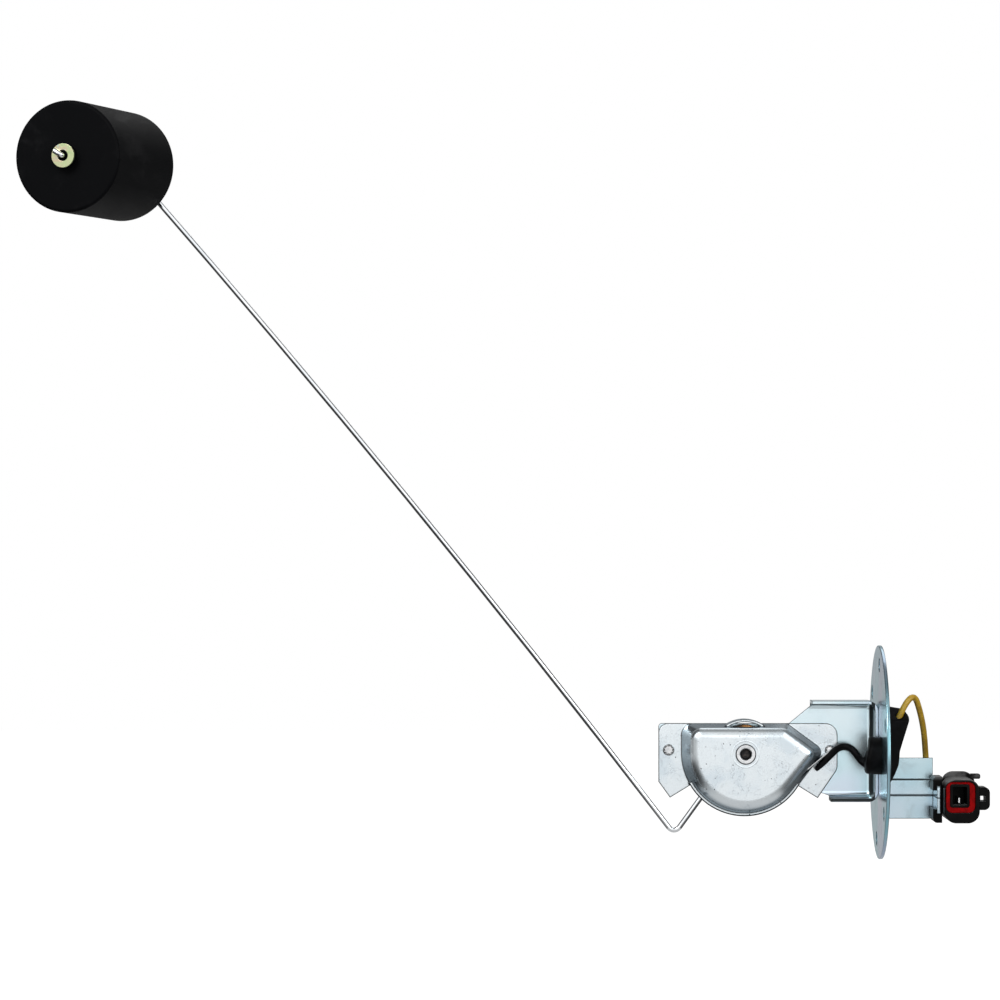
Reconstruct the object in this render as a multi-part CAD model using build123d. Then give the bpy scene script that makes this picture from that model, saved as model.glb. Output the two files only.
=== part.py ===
from build123d import *
import math
import os

# Fuel level sender, in millimetres.
# The origin is the centre of the mounting flange's tank-side face.
# +X points out of the tank, +Z points up and -Y points at the viewer.

# Mounting flange
flange_diameter = 84.0
flange_thickness = 1.4
bolt_edge_distance = 7.0
bolt_hole_diameter = 5.5
bolt_count = 6
bolt_start_angle = 100.0
flange_edge_round = 0.35

# Feedthrough grommet, which goes through the flange
grommet_y = -13.0
grommet_z = -0.6
grommet_neck_diameter = 11.0
grommet_head_diameter = 15.2
grommet_head_length = 6.5
grommet_head_round = 1.6
boot_profile = [
    (0.0, 19.5),
    (7.6, 18.2),
    (9.6, 15.0),
    (5.6, 2.0),
    (5.2, -3.2),
    (2.4, -10.4),
    (0.0, -10.4),
]
boot_corner = 3.2
boot_width = 13.0
boot_edge = 1.2
boot_mouth_drop = 5.5
boot_mouth_depth = 7.5
rubber_clearance = 0.05

# Support bracket, one folded sheet
bracket_sheet = 1.3
bracket_front_y = 9.0
bracket_top = 10.9
bracket_bottom = -17.7
bracket_corner = 1.4
lip_top = 20.2
lip_bottom = -19.5
upper_lip_length = 26.1
lower_lip_length = 18.6
lip_depth = 11.5
lip_corner = 4.0
fold_round = 1.2
fold_inner_round = 2.2
shoulder_run = 8.3
shoulder_rise = 6.8
web_under_can = 6.0

# Pivot of the arm
pivot_x = -52.3
pivot_z = -0.6
shaft_diameter = 3.9
running_clearance = 0.05
seat_clearance = 0.02
shaft_recess = 2.0
shaft_head_diameter = 6.6
shaft_head_length = 0.9
shaft_head_round = 0.4
shaft_end_chamfer = 0.3

# Sensor housing, a drawn can with two ears
housing_sheet = 1.0
housing_depth = 14.0
housing_radius = 25.0
housing_left_round = 4.5
housing_right_round = 3.2
housing_shoulder_round = 3.0
housing_right_reach = 30.6
housing_shoulder_reach = 16.2
housing_front_round = 3.6
draft_side = 4.0
draft_top = 1.6
ear_left_round = 3.6
ear_right_round = 4.75
ear_right_edge = -15.3
ear_margin = 4.0
ear_left_drop = 11.6
ear_right_drop = 6.6
ear_tip_rise = 9.3
ear_left_tip_angle = 211.4
ear_right_tip_angle = 328.2
relief_from = 208.6
relief_to = 330.5
rim_relief = 3.8
rim_lip = 0.8
arch_radius = 13.4
arch_depth = 8.0
arch_from = 40.0
arch_to = 140.0

# Rivets of the housing, staked round their heads
rivet_z = 0.4
rivet_gap = 4.8
rivet_right_x = -18.4
rivet_shank = 3.0
rivet_left_head = 4.6
rivet_right_head = 4.0
rivet_head_height = 0.7
stake_count = 8
stake_width = 0.4
stake_depth = 0.3
stake_sweep = 26.0

# Bushes and washers on the shaft
bush_flange_diameter = 8.1
bush_barrel_diameter = 6.0
bush_flange_height = 1.0
bush_inner_length = 1.6
bush_lip = 0.6
bush_edge_round = 0.45
bush_mouth = 0.4
rear_bush_flange_diameter = 9.0
washer_diameter = 7.8
spring_washer_thickness = 0.5
spacer_thickness = 1.0
end_play = 0.05

# Resistor card, a strip bent round the pivot
card_radius = 9.9
card_thickness = 1.0
card_width = 6.1
card_from = 24.0
card_to = 154.0
card_foot_gap = 1.0
wire_diameter = 0.3
winding_from = 31.0
winding_to = 147.0
winding_overrun = 2.0
holder_thickness = 1.3
holder_inner = 8.8
holder_outer = 11.2
holder_lobe_angle = 12.0
holder_lobe_radius = 2.2
card_rivet_circle = 22.4
card_rivet_diameter = 1.6
card_rivet_head = 2.8
card_rivet_height = 0.6

# Float arm, one bent wire
arm_wire = 2.1
arm_y = 6.8
arm_offset = 3.4
short_leg = 42.4
short_leg_angle = 54.0
long_leg = 340.5
long_leg_angle = 50.7
long_leg_bow = 2.6
bow_share = 0.94
arm_inner_end = 5.5
arm_hook_length = 6.3
inner_bend = 2.3
vee_bend = 2.6
float_bend = 3.2
end_bend = 1.6
end_hook = 3.5
end_hook_angle = 148.0

# Arm carrier, a moulding on the shaft
carrier_front_y = -1.0
carrier_hub_radius = 4.5
carrier_wall = 1.0
carrier_tail = 9.0
carrier_boss_radius = 3.2
carrier_groove_clearance = 0.05
groove_end_gap = 0.2

# Wiper
wiper_angle = 45.0
wiper_width = 2.4
wiper_thickness = 0.3
wiper_root = 5.2
wiper_bend_radius = 7.3
wiper_y = 4.4
wiper_finger = 2.4
contact_height = 0.55
contact_diameter = 1.4
contact_gap = 0.05
wiper_rivet_length = 2.5
wiper_rivet_head = 0.5

# Float
float_diameter = 43.0
float_length = 56.0
float_yaw = 17.8
float_edge = 1.2
float_boss_diameter = 9.0
float_boss_height = 3.0
float_bore_clearance = 0.12
float_washer_diameter = 9.2
float_washer_bore = 4.3
float_washer_thickness = 1.0
float_boss_round = 0.4
float_standoff = 0.7
float_play = 0.1

# Terminal strip and the lead in the tank
strip_thickness = 0.6
strip_width = 3.0
strip_y = 5.2
strip_start_rise = 1.6
strip_start_lead = 8.0
strip_corner = (-30.25, -9.3)
strip_end = (-17.4, 1.2)
strip_slot_clearance = 0.35
sleeve_diameter = 2.75
sleeve_bore = 1.8
inner_wire = 1.6
sleeve_route = [
    (-23.9, 5.0, -7.0),
    (-14.9, 3.4, 0.9),
    (-10.7, 0.0, 1.7),
    (-6.7, -5.6, -3.4),
    (-3.6, -11.6, -4.2),
]
sleeve_radii = [5.0, 5.0, 5.0]

# Connector bracket, a folded sheet on the flange's outer face
plate_top = -2.25
plate_bottom = -26.2
plate_y = 0.0
plate_reach = 22.9
plate_foot_depth = 14.0
plate_foot_margin = 2.0
plate_foot_corner = 3.0
band_top = -10.4
band_bottom = -17.3
band_step = 0.7
tab_top = -12.1
tab_bottom = -23.3
tab_depth = 17.0
tab_corner = 1.5

# Connector
connector_x = 30.6
connector_z = -17.75
connector_front_y = -25.0
shell_width = 13.7
shell_height = 17.1
shell_round = 4.6
shell_length = 21.0
shell_edge = 0.6
socket_x = 30.0
socket_z = -16.2
socket_width = 11.6
socket_height = 12.2
socket_round = 2.6
socket_depth = 13.0
socket_floor = 1.0
core_x = 29.7
core_z = -15.65
core_width = 7.4
core_height = 8.9
core_wall = 0.9
core_round = 0.9
core_setback = 0.3
tail_width = 10.4
tail_height = 12.6
tail_length = 14.0
tail_round = 3.0
tail_drop = 1.0
tail_edge = 1.0
collar_shift = 0.3
collar_width = 12.9
collar_rise = 2.0
collar_length = 3.0
collar_edge = 0.5
latch_reach = 4.0
latch_root = 2.0
latch_height = 8.9
latch_z = -16.7
latch_length = 9.0
latch_setback = 1.0
latch_round = 2.2
latch_wall = 0.25
latch_window = 2.1
ear_reach = 2.1
ear_height = 2.0
ear_z = -9.1
ear_length = 3.0
seal_thickness = 3.6
seal_setback = 0.4
seal_edge = 0.35
terminal_width = 2.2
terminal_thickness = 0.8
terminal_setback = 3.5
terminal_bore = 3.6
terminal_wall = 2.0
crimp_step = 0.5
crimp_tail = 4.0
crimp_depth = 1.5
wire_seal_diameter = 6.0
wire_seal_length = 5.0
wire_seal_rise = 0.8
groove_count = 3
groove_pitch = 1.4
groove_width = 0.6
groove_depth = 0.4
clip_length = 12.0
clip_front_setback = 1.0
clip_wall = 1.4
clip_corner = 1.6
clip_lip = 2.0
clip_hook = 3.4
clip_gap = 0.05

# Signal lead
lead_diameter = 2.4
lead_route = [
    (4.9, -17.0, 9.8),
    (11.4, -16.4, 26.2),
    (17.1, -7.6, 11.5),
    (19.4, 4.4, -4.0),
    (20.4, 12.0, -13.0),
    (20.6, 20.6, -17.0),
    (29.7, 21.2, -17.6),
    (29.7, -1.0, -17.6),
]
lead_radii = [2.6, 55.0, 12.0, 9.0, 4.3, 4.4]

# How near two places count as the same when edges are picked
tolerance = 0.01

flange_radius = flange_diameter / 2
bolt_circle = flange_diameter - 2 * bolt_edge_distance
pivot = Vector(pivot_x, 0, pivot_z)
shaft_radius = shaft_diameter / 2
bore_radius = shaft_radius + running_clearance
wire_radius = arm_wire / 2
bracket_back_y = bracket_front_y + bracket_sheet
housing_front_y = bracket_front_y - housing_depth
housing_inner_y = housing_front_y + housing_sheet
foot_front_y = bracket_front_y - lip_depth
ear_front_y = bracket_front_y - housing_sheet
arch_front_y = bracket_front_y - arch_depth
holder_front_y = bracket_front_y - holder_thickness
winding_front_y = holder_front_y - card_width - wire_diameter
carrier_back_y = bracket_front_y - end_play * 2 - spacer_thickness
front_bush_end_y = housing_inner_y + bush_inner_length
boss_front_y = front_bush_end_y + spring_washer_thickness + end_play * 2
rivet_left_x = pivot_x - housing_radius - rivet_gap
bracket_left = rivet_left_x - ear_margin
ear_tip_radius = housing_radius + ear_tip_rise
wiper_rivet_radius = wiper_width / 4
wiper_tip_radius = card_radius - wire_diameter - wiper_thickness - contact_height - contact_gap
socket_floor_y = connector_front_y + socket_depth
shell_back_y = connector_front_y + shell_length
tail_back_y = shell_back_y + tail_length
lead_exit_x, lead_exit_z = lead_route[-1][0], lead_route[-1][2]


def upright(y):
    """Drawing plane that faces the viewer at a depth y; what is pulled out of it comes towards the viewer."""
    return Plane.XZ.offset(-y)


def polar(radius, angle, centre=(pivot_x, pivot_z)):
    """Point at an angle round the pivot, counter-clockwise as the viewer sees it."""
    turn = math.radians(angle)
    return (centre[0] + radius * math.cos(turn), centre[1] + radius * math.sin(turn))


def slab(sketch, back_y, front_y):
    """Prism between two depths."""
    return extrude(upright(back_y) * sketch, back_y - front_y)


def disc(x, z, radius, back_y, front_y):
    """Round slab whose axis points at the viewer."""
    return slab(Pos(x, z) * Circle(radius), back_y, front_y)


def box(x_from, x_to, y_from, y_to, z_from, z_to):
    """Box between two corners."""
    size = (x_to - x_from, y_to - y_from, z_to - z_from)
    centre = ((x_from + x_to) / 2, (y_from + y_to) / 2, (z_from + z_to) / 2)
    return Pos(*centre) * Box(*size)


def belt(rounds):
    """Face inside a belt that runs counter-clockwise round circles, each given as x, y and radius."""
    touches = []
    for index, first in enumerate(rounds):
        second = rounds[(index + 1) % len(rounds)]
        gap = Vector(second[0] - first[0], second[1] - first[1])
        along = gap.normalized()
        side = Vector(along.Y, -along.X)
        tilt = math.acos((first[2] - second[2]) / gap.length)
        out = along * math.cos(tilt) + side * math.sin(tilt)
        start = Vector(first[0], first[1]) + out * first[2]
        end = Vector(second[0], second[1]) + out * second[2]
        touches.append((start, end, out))
    edges = []
    for index, (start, end, out) in enumerate(touches):
        following = touches[(index + 1) % len(touches)]
        centre = rounds[(index + 1) % len(rounds)]
        middle = Vector(centre[0], centre[1]) + (out + following[2]).normalized() * centre[2]
        edges.append(Line(start, end))
        edges.append(ThreePointArc(end, middle, following[0]))
    return make_face(edges)


def sector(radius, angle_from, angle_to):
    """Wedge with its point at the pivot, cut off straight outside the radius."""
    steps = 4
    points = [(pivot_x, pivot_z)]
    for step in range(steps + 1):
        points.append(polar(radius, angle_from + (angle_to - angle_from) * step / steps))
    return make_face(Polyline(*points, close=True))


def arc_strip(inner, outer, angle_from, angle_to):
    """Part of a ring round the pivot."""
    ring = Pos(pivot_x, pivot_z) * (Circle(outer) - Circle(inner))
    return ring & sector(outer * 2, angle_from, angle_to)


def tube_along(route, radii, radius, bore=0.0):
    """Round section swept along straight runs and tangent arcs."""
    path = FilletPolyline(*route, radius=radii)
    section = Circle(radius)
    if bore:
        section -= Circle(bore)
    start = Plane(origin=path @ 0, z_dir=path % 0)
    return sweep(start * section, path=path)


def mounting_flange():
    body = extrude(Plane.YZ * Circle(flange_radius), flange_thickness)
    body = fillet(body.edges().filter_by(GeomType.CIRCLE), flange_edge_round)
    holes = Sketch()
    for spot in PolarLocations(bolt_circle / 2, bolt_count, start_angle=bolt_start_angle):
        holes += spot * Circle(bolt_hole_diameter / 2)
    holes += Pos(grommet_y, grommet_z) * Circle(grommet_neck_diameter / 2)
    return body - extrude(Plane.YZ * holes, flange_thickness)


def grommet_plane(x):
    """Plane across the grommet at a distance from the flange's tank-side face."""
    return Plane.YZ.offset(x) * Pos(grommet_y, grommet_z)


def grommet_boot():
    """Upturned spout outside the flange: its side view crossed with its rounded end view."""
    profile = [(flange_thickness + x, grommet_z + z) for x, z in boot_profile]
    side = make_face(Polyline(*profile, close=True))
    side = fillet(side.vertices().filter_by(lambda v: v.X > flange_thickness + boot_corner), boot_corner)
    half = boot_width / 2
    spout = slab(side, grommet_y + half, grommet_y - half)
    top = grommet_z + boot_profile[0][1]
    bottom = grommet_z + boot_profile[-1][1]
    end_view = RectangleRounded(boot_width, top - bottom, half - boot_edge)
    end_plane = Plane.YZ.offset(flange_thickness) * Pos(grommet_y, (top + bottom) / 2)
    spout &= extrude(end_plane * end_view, boot_width)
    return spout - extrude(Plane.YZ * boot_mouth(grommet_y - half, top), boot_width)


def boot_mouth(front, top):
    """Slanted cut at the front of the spout's top, where the lead comes out."""
    return make_face(
        Polyline((front, top - boot_mouth_drop), (front, top), (front + boot_mouth_depth, top), close=True)
    )


def feedthrough_grommet():
    neck_radius = grommet_neck_diameter / 2 - rubber_clearance
    head = extrude(grommet_plane(0) * Circle(grommet_head_diameter / 2), -grommet_head_length)
    head = fillet(head.edges().sort_by(Axis.X)[0], grommet_head_round)
    neck = extrude(grommet_plane(0) * Circle(neck_radius), flange_thickness)
    plug = head + neck + grommet_boot()
    plug -= tube_along(sleeve_route, sleeve_radii, sleeve_diameter / 2 + rubber_clearance)
    plug -= tube_along(lead_route, lead_radii, lead_diameter / 2 + rubber_clearance)
    return plug


def ear_points_left():
    """Left ear, from the top edge down to its tip and in to the pivot."""
    return [
        (pivot_x, bracket_top),
        (bracket_left, bracket_top),
        (bracket_left, pivot_z - ear_left_drop),
        polar(ear_tip_radius, ear_left_tip_angle),
        (pivot_x, pivot_z),
    ]


def ear_points_right():
    """Right ear, from the pivot out to its tip and up to the top edge."""
    return [
        (pivot_x, pivot_z),
        polar(ear_tip_radius, ear_right_tip_angle),
        (ear_right_edge, pivot_z - ear_right_drop),
        (ear_right_edge, bracket_top),
        (pivot_x, bracket_top),
    ]


def round_near(face, point, radius):
    """Face with the corner nearest a point rounded."""
    corner = face.vertices().sort_by_distance(Vector(point[0], point[1]))[0]
    return fillet(corner, radius)


def bracket_outline():
    """Flat shape of the bracket: left ear, the part behind the can, and the web that meets the flange."""
    reach = -upper_lip_length
    ear = make_face(Polyline(*ear_points_left(), close=True))
    ear = round_near(ear, (bracket_left, bracket_top), bracket_corner)
    web = make_face(
        Polyline(
            (pivot_x, bracket_top),
            (reach - shoulder_run, bracket_top),
            (reach, bracket_top + shoulder_rise),
            (reach, lip_top),
            (0, lip_top),
            (0, lip_bottom),
            (-lower_lip_length, lip_bottom),
            (-lower_lip_length, bracket_bottom),
            polar(ear_tip_radius - web_under_can, relief_to),
            (pivot_x, pivot_z),
            close=True,
        )
    )
    hub = Pos(pivot_x, pivot_z) * Circle(housing_radius - 2 * housing_sheet)
    above = Pos(pivot_x, bracket_top - housing_radius) * Rectangle(3 * housing_radius, 2 * housing_radius)
    return ear + web + (hub & above)


def folded_end(inset):
    """Rounded end view of the folded lips and foot, drawn in by the sheet where an inset is given."""
    middle = (lip_top + lip_bottom) / 2
    height = lip_top - lip_bottom - 2 * inset
    span = 2 * upper_lip_length - 2 * inset
    return Pos(-upper_lip_length, middle) * RectangleRounded(span, height, lip_corner - inset)


def bracket_lips():
    """Upper lip, foot and lower lip, one strip round the folded end."""
    middle = (lip_top + lip_bottom) / 2
    half = (lip_top - lip_bottom) / 2
    upper = Pos(-upper_lip_length / 2, middle + half / 2) * Rectangle(upper_lip_length, half)
    lower = Pos(-lower_lip_length / 2, middle - half / 2) * Rectangle(lower_lip_length, half)
    strip = (folded_end(0) - folded_end(bracket_sheet)) & (upper + lower)
    return slab(strip, bracket_back_y, foot_front_y)


def on_folded_rim(edge):
    """Whether an edge is a rear edge of the folded end, where the sheet is bent."""
    centre = edge.center()
    at_back = abs(centre.Y - bracket_back_y) < tolerance
    above = centre.Z > lip_top - bracket_sheet and centre.X > -upper_lip_length
    below = centre.Z < lip_bottom + bracket_sheet and centre.X > -lower_lip_length
    return at_back and edge.length > bracket_sheet and (above or below or centre.X > -lip_corner)


def in_fold(edge):
    """Whether an edge is where the bracket's web turns into a lip or the foot."""
    centre = edge.center()
    at_front = abs(centre.Y - bracket_front_y) < tolerance
    above = abs(centre.Z - lip_top + bracket_sheet) < tolerance and centre.X > -upper_lip_length
    below = abs(centre.Z - lip_bottom - bracket_sheet) < tolerance and centre.X > -lower_lip_length
    return at_front and (above or below or centre.X > -lip_corner)


def support_bracket():
    plate = slab(bracket_outline(), bracket_back_y, bracket_front_y)
    corners = Pos(-lip_corner, (lip_top + lip_bottom) / 2) * Rectangle(2 * lip_corner, lip_top - lip_bottom)
    plate -= slab(corners - folded_end(0), bracket_back_y, bracket_front_y)
    body = plate + bracket_lips()
    body = fillet([edge for edge in body.edges() if on_folded_rim(edge)], fold_round)
    body = fillet([edge for edge in body.edges() if in_fold(edge)], fold_inner_round)
    holes = [(pivot_x, pivot_z, bush_barrel_diameter / 2)]
    holes += [(x, rivet_z, rivet_shank / 2) for x in (rivet_left_x, rivet_right_x)]
    holes += [(x, z, card_rivet_diameter / 2) for x, z in card_rivet_spots()]
    for x, z, radius in holes:
        body -= disc(x, z, radius + seat_clearance, bracket_back_y, bracket_front_y)
    return body


def housing_outline(side_inset, top_inset):
    """Outline of the can, drawn in by a distance at its sides and another at its top."""
    radius = housing_radius - side_inset
    left = pivot_x - radius
    right = pivot_x + housing_right_reach - side_inset
    shoulder = pivot_x + housing_shoulder_reach - side_inset / 2
    top = bracket_top - top_inset
    return belt(
        [
            (pivot_x, pivot_z, radius),
            (right - housing_right_round, pivot_z, housing_right_round),
            (shoulder, top - housing_shoulder_round, housing_shoulder_round),
            (left + housing_left_round, top - housing_left_round, housing_left_round),
        ]
    )


def can_block(inset, back_y, front_y, front_round):
    """Solid with the can's outline and draft, drawn in by a wall."""
    back = upright(back_y) * housing_outline(inset, inset)
    front = upright(front_y) * housing_outline(draft_side + inset, draft_top + inset)
    block = loft([back.face(), front.face()], ruled=True)
    rim = [edge for edge in block.edges() if abs(edge.center().Y - front_y) < tolerance]
    return fillet(rim, front_round)


def housing_ears():
    left = make_face(Polyline(*ear_points_left(), close=True))
    left = round_near(left, (bracket_left, bracket_top), ear_left_round)
    right = make_face(Polyline(*ear_points_right(), close=True))
    right = round_near(right, (ear_right_edge, bracket_top), ear_right_round)
    right = round_near(right, (ear_right_edge, pivot_z - ear_right_drop), ear_right_round)
    return slab(left + right, bracket_front_y, ear_front_y)


def housing_arch():
    """Arch lanced out of the can's top wall, over the winding."""
    arch = arc_strip(arch_radius - housing_sheet, arch_radius, arch_from, arch_to)
    above = box(bracket_left, 0, arch_front_y, bracket_front_y, bracket_top - housing_sheet, lip_top)
    return slab(arch, bracket_front_y, arch_front_y) & above


def rim_curl():
    """Small outward lip round the relieved part of the can's rim."""
    back_y = bracket_front_y - rim_relief
    wall_radius = housing_radius - draft_side * rim_relief / housing_depth
    strip = arc_strip(wall_radius - housing_sheet / 2, housing_radius, relief_from, relief_to)
    return slab(strip, back_y, back_y - rim_lip)


def sensor_housing():
    outside = can_block(0, bracket_front_y, housing_front_y, housing_front_round)
    inside = can_block(housing_sheet, bracket_front_y, housing_inner_y, housing_front_round - housing_sheet)
    relief_sector = sector(3 * housing_radius, relief_from, relief_to)
    outside -= slab(relief_sector, bracket_front_y, bracket_front_y - rim_relief)
    body = outside + rim_curl() + housing_ears() + housing_arch() - inside
    body -= slab(relief_sector & inner_rim(), bracket_front_y, ear_front_y)
    body -= disc(pivot_x, pivot_z, arch_radius - housing_sheet, bracket_front_y, arch_front_y)
    barrel = bush_barrel_diameter / 2 + seat_clearance
    body -= disc(pivot_x, pivot_z, barrel, housing_inner_y, housing_front_y)
    for x in (rivet_left_x, rivet_right_x):
        body -= disc(x, rivet_z, rivet_shank / 2 + seat_clearance, bracket_front_y, ear_front_y)
    return body - strip_solid(strip_slot_clearance)


def inner_rim():
    """Disc that the can's side wall stands on."""
    return Pos(pivot_x, pivot_z) * Circle(housing_radius)


def housing_rivet(x, head_diameter):
    shank = disc(x, rivet_z, rivet_shank / 2, bracket_back_y, ear_front_y)
    head = disc(x, rivet_z, head_diameter / 2, ear_front_y, ear_front_y - rivet_head_height)
    head = chamfer(head.edges().sort_by(Axis.Y)[0], rivet_head_height / 2)
    tail = disc(x, rivet_z, head_diameter / 2, bracket_back_y + rivet_head_height, bracket_back_y)
    return shank + head + tail - stake_marks(x, head_diameter)


def stake_marks(x, head_diameter):
    """Ring of short dents that the staking tool leaves round the head."""
    outer = head_diameter / 2 - rivet_head_height / 2
    ring = Circle(outer) - Circle(outer - stake_width)
    marks = Sketch()
    for index in range(stake_count):
        reach = head_diameter
        half = math.radians(stake_sweep / 2)
        wedge = Polyline(
            (0, 0),
            (reach * math.cos(half), -reach * math.sin(half)),
            (reach * math.cos(half), reach * math.sin(half)),
            close=True,
        )
        marks += ring & (Rot(0, 0, 360 * index / stake_count) * make_face(wedge))
    head_y = ear_front_y - rivet_head_height
    return slab(Pos(x, rivet_z) * marks, head_y + stake_depth, head_y)


def pivot_bush_front():
    flange_y = housing_front_y - bush_flange_height
    flange = disc(pivot_x, pivot_z, bush_flange_diameter / 2, housing_front_y, flange_y)
    flange = fillet(flange.edges().sort_by(Axis.Y)[0], bush_edge_round)
    barrel = disc(pivot_x, pivot_z, bush_barrel_diameter / 2, front_bush_end_y, housing_front_y)
    lip = disc(pivot_x, pivot_z, bush_barrel_diameter / 2 + bush_lip, front_bush_end_y, housing_inner_y)
    bush = flange + barrel + lip - disc(pivot_x, pivot_z, bore_radius, front_bush_end_y, flange_y)
    rims = bush.edges().filter_by(GeomType.CIRCLE).sort_by(Axis.Y)
    mouth = [rim for rim in rims if abs(rim.radius - bore_radius) < tolerance][0]
    return chamfer(mouth, bush_mouth)


def pivot_bush_rear():
    back_y = bracket_back_y + bush_flange_height
    flange = disc(pivot_x, pivot_z, rear_bush_flange_diameter / 2, back_y, bracket_back_y)
    barrel = disc(pivot_x, pivot_z, bush_barrel_diameter / 2, bracket_back_y, bracket_front_y)
    return flange + barrel - disc(pivot_x, pivot_z, bore_radius, back_y, bracket_front_y)


def pivot_shaft():
    back_y = bracket_back_y + bush_flange_height + end_play
    front_y = housing_front_y - bush_flange_height + shaft_recess
    shank = disc(pivot_x, pivot_z, shaft_radius, back_y, front_y)
    shank = chamfer(shank.edges().sort_by(Axis.Y)[0], shaft_end_chamfer)
    head = disc(pivot_x, pivot_z, shaft_head_diameter / 2, back_y + shaft_head_length, back_y)
    head = fillet(head.edges().sort_by(Axis.Y)[-1], shaft_head_round)
    return shank + head


def washer_round_shaft(back_y, thickness):
    ring = disc(pivot_x, pivot_z, washer_diameter / 2, back_y, back_y - thickness)
    return ring - disc(pivot_x, pivot_z, bore_radius + running_clearance, back_y, back_y - thickness)


def spring_washer():
    return washer_round_shaft(boss_front_y - end_play, spring_washer_thickness)


def spacer_washer():
    return washer_round_shaft(bracket_front_y - end_play, spacer_thickness)


def card_rivet_spots():
    """Where the card holder is fixed to the bracket."""
    radius = card_rivet_circle / 2
    return [polar(radius, holder_lobe_angle), polar(radius, 180 - holder_lobe_angle)]


def card_strip(angle_from, angle_to, back_y):
    """Length of the card's bent strip, up to its front edge."""
    ring = arc_strip(card_radius, card_radius + card_thickness, angle_from, angle_to)
    return slab(ring, back_y, holder_front_y - card_width)


def resistor_card():
    strip = card_strip(card_from, card_to, holder_front_y - wire_diameter)
    strip += card_strip(card_from, winding_from - card_foot_gap, holder_front_y)
    strip += card_strip(winding_to + card_foot_gap, card_to, holder_front_y)
    return strip


def resistor_winding():
    inner = card_radius - wire_diameter
    outer = card_radius + card_thickness + wire_diameter
    coil = slab(arc_strip(inner, outer, winding_from, winding_to), holder_front_y, winding_front_y)
    start = winding_from - winding_overrun
    stop = winding_to + winding_overrun
    return coil - card_strip(start, stop, holder_front_y - wire_diameter)


def card_holder():
    plate = arc_strip(holder_inner, holder_outer, holder_lobe_angle, 180 - holder_lobe_angle)
    for spot in card_rivet_spots():
        plate += Pos(*spot) * Circle(holder_lobe_radius)
    body = slab(plate, bracket_front_y, holder_front_y)
    for spot in card_rivet_spots():
        hole = card_rivet_diameter / 2 + seat_clearance
        body -= disc(spot[0], spot[1], hole, bracket_front_y, holder_front_y)
    return body


def card_rivets():
    pieces = []
    for x, z in card_rivet_spots():
        shank = disc(x, z, card_rivet_diameter / 2, bracket_back_y, holder_front_y)
        head_y = holder_front_y - card_rivet_height
        head = disc(x, z, card_rivet_head / 2, holder_front_y, head_y)
        tail = disc(x, z, card_rivet_head / 2, bracket_back_y + card_rivet_height, bracket_back_y)
        pieces.append((shank + head + tail).solid())
    return Compound(pieces)


def strip_solid(grow):
    """Terminal strip, or its slot when grown by a clearance."""
    start = polar(card_radius + card_thickness + strip_start_rise, winding_from - strip_start_lead)
    path = Polyline(start, strip_corner, strip_end)
    half = strip_thickness / 2 + grow
    face = make_face(offset(path, half, side=Side.BOTH).edges())
    half_width = strip_width / 2 + grow
    return slab(face, strip_y + half_width, strip_y - half_width)


def terminal_tab():
    return strip_solid(0)


def lead_sleeve():
    return tube_along(sleeve_route, sleeve_radii, sleeve_diameter / 2, sleeve_bore / 2)


def inner_lead():
    return tube_along(sleeve_route, sleeve_radii, inner_wire / 2)


def short_leg_direction():
    """Direction of the short leg, from the V bend to the wire's inner end."""
    turn = math.radians(short_leg_angle)
    return Vector(math.cos(turn), 0, math.sin(turn))


def arm_corners():
    """Where the wire's straight runs meet: inner end, V bend, middle of the long leg, bend at the float."""
    along = short_leg_direction()
    across = Vector(-along.Z, 0, along.X)
    foot = pivot + across * arm_offset + Vector(0, arm_y, 0)
    inner = foot + along * arm_inner_end
    vee = foot - along * short_leg
    lean = math.radians(long_leg_angle)
    outward = Vector(-math.cos(lean), 0, math.sin(lean))
    bulge = Vector(outward.Z, 0, -outward.X)
    middle = vee + outward * (long_leg / 2) + bulge * (2 * long_leg_bow)
    return inner, vee, middle, vee + outward * long_leg


def float_axis():
    """Direction along the float towards the viewer."""
    yaw = math.radians(float_yaw)
    return Vector(-math.sin(yaw), -math.cos(yaw), 0)


def float_stations():
    """Distances along the float's axis from the wire's corner: washer, float, washer and wire end."""
    rear_washer = float_bend + float_standoff
    float_back = rear_washer + float_washer_thickness + float_play
    float_front = float_back + float_length + float_boss_height
    front_washer = float_front + float_play
    wire_end = front_washer + float_washer_thickness + wire_radius + float_play
    return rear_washer, float_back, front_washer, wire_end


def arm_points():
    """Corners of the whole wire, from the hook in the carrier to the tip over the front washer."""
    inner, vee, middle, corner = arm_corners()
    hook = inner - Vector(0, arm_hook_length, 0)
    end = corner + float_axis() * float_stations()[3]
    turn = math.radians(end_hook_angle)
    up = Vector(0, 0, 1)
    level = up.cross(float_axis())
    tip = end + (level * math.cos(turn) + up * math.sin(turn)) * end_hook
    return [hook, inner, vee, middle, corner, end, tip]


def float_arm():
    half_run = long_leg / 2
    half_turn = math.atan(2 * long_leg_bow / half_run)
    bow_radius = bow_share * half_run / math.tan(half_turn)
    radii = [inner_bend, vee_bend, bow_radius, float_bend, end_bend]
    return tube_along(arm_points(), radii, wire_radius)


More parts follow.
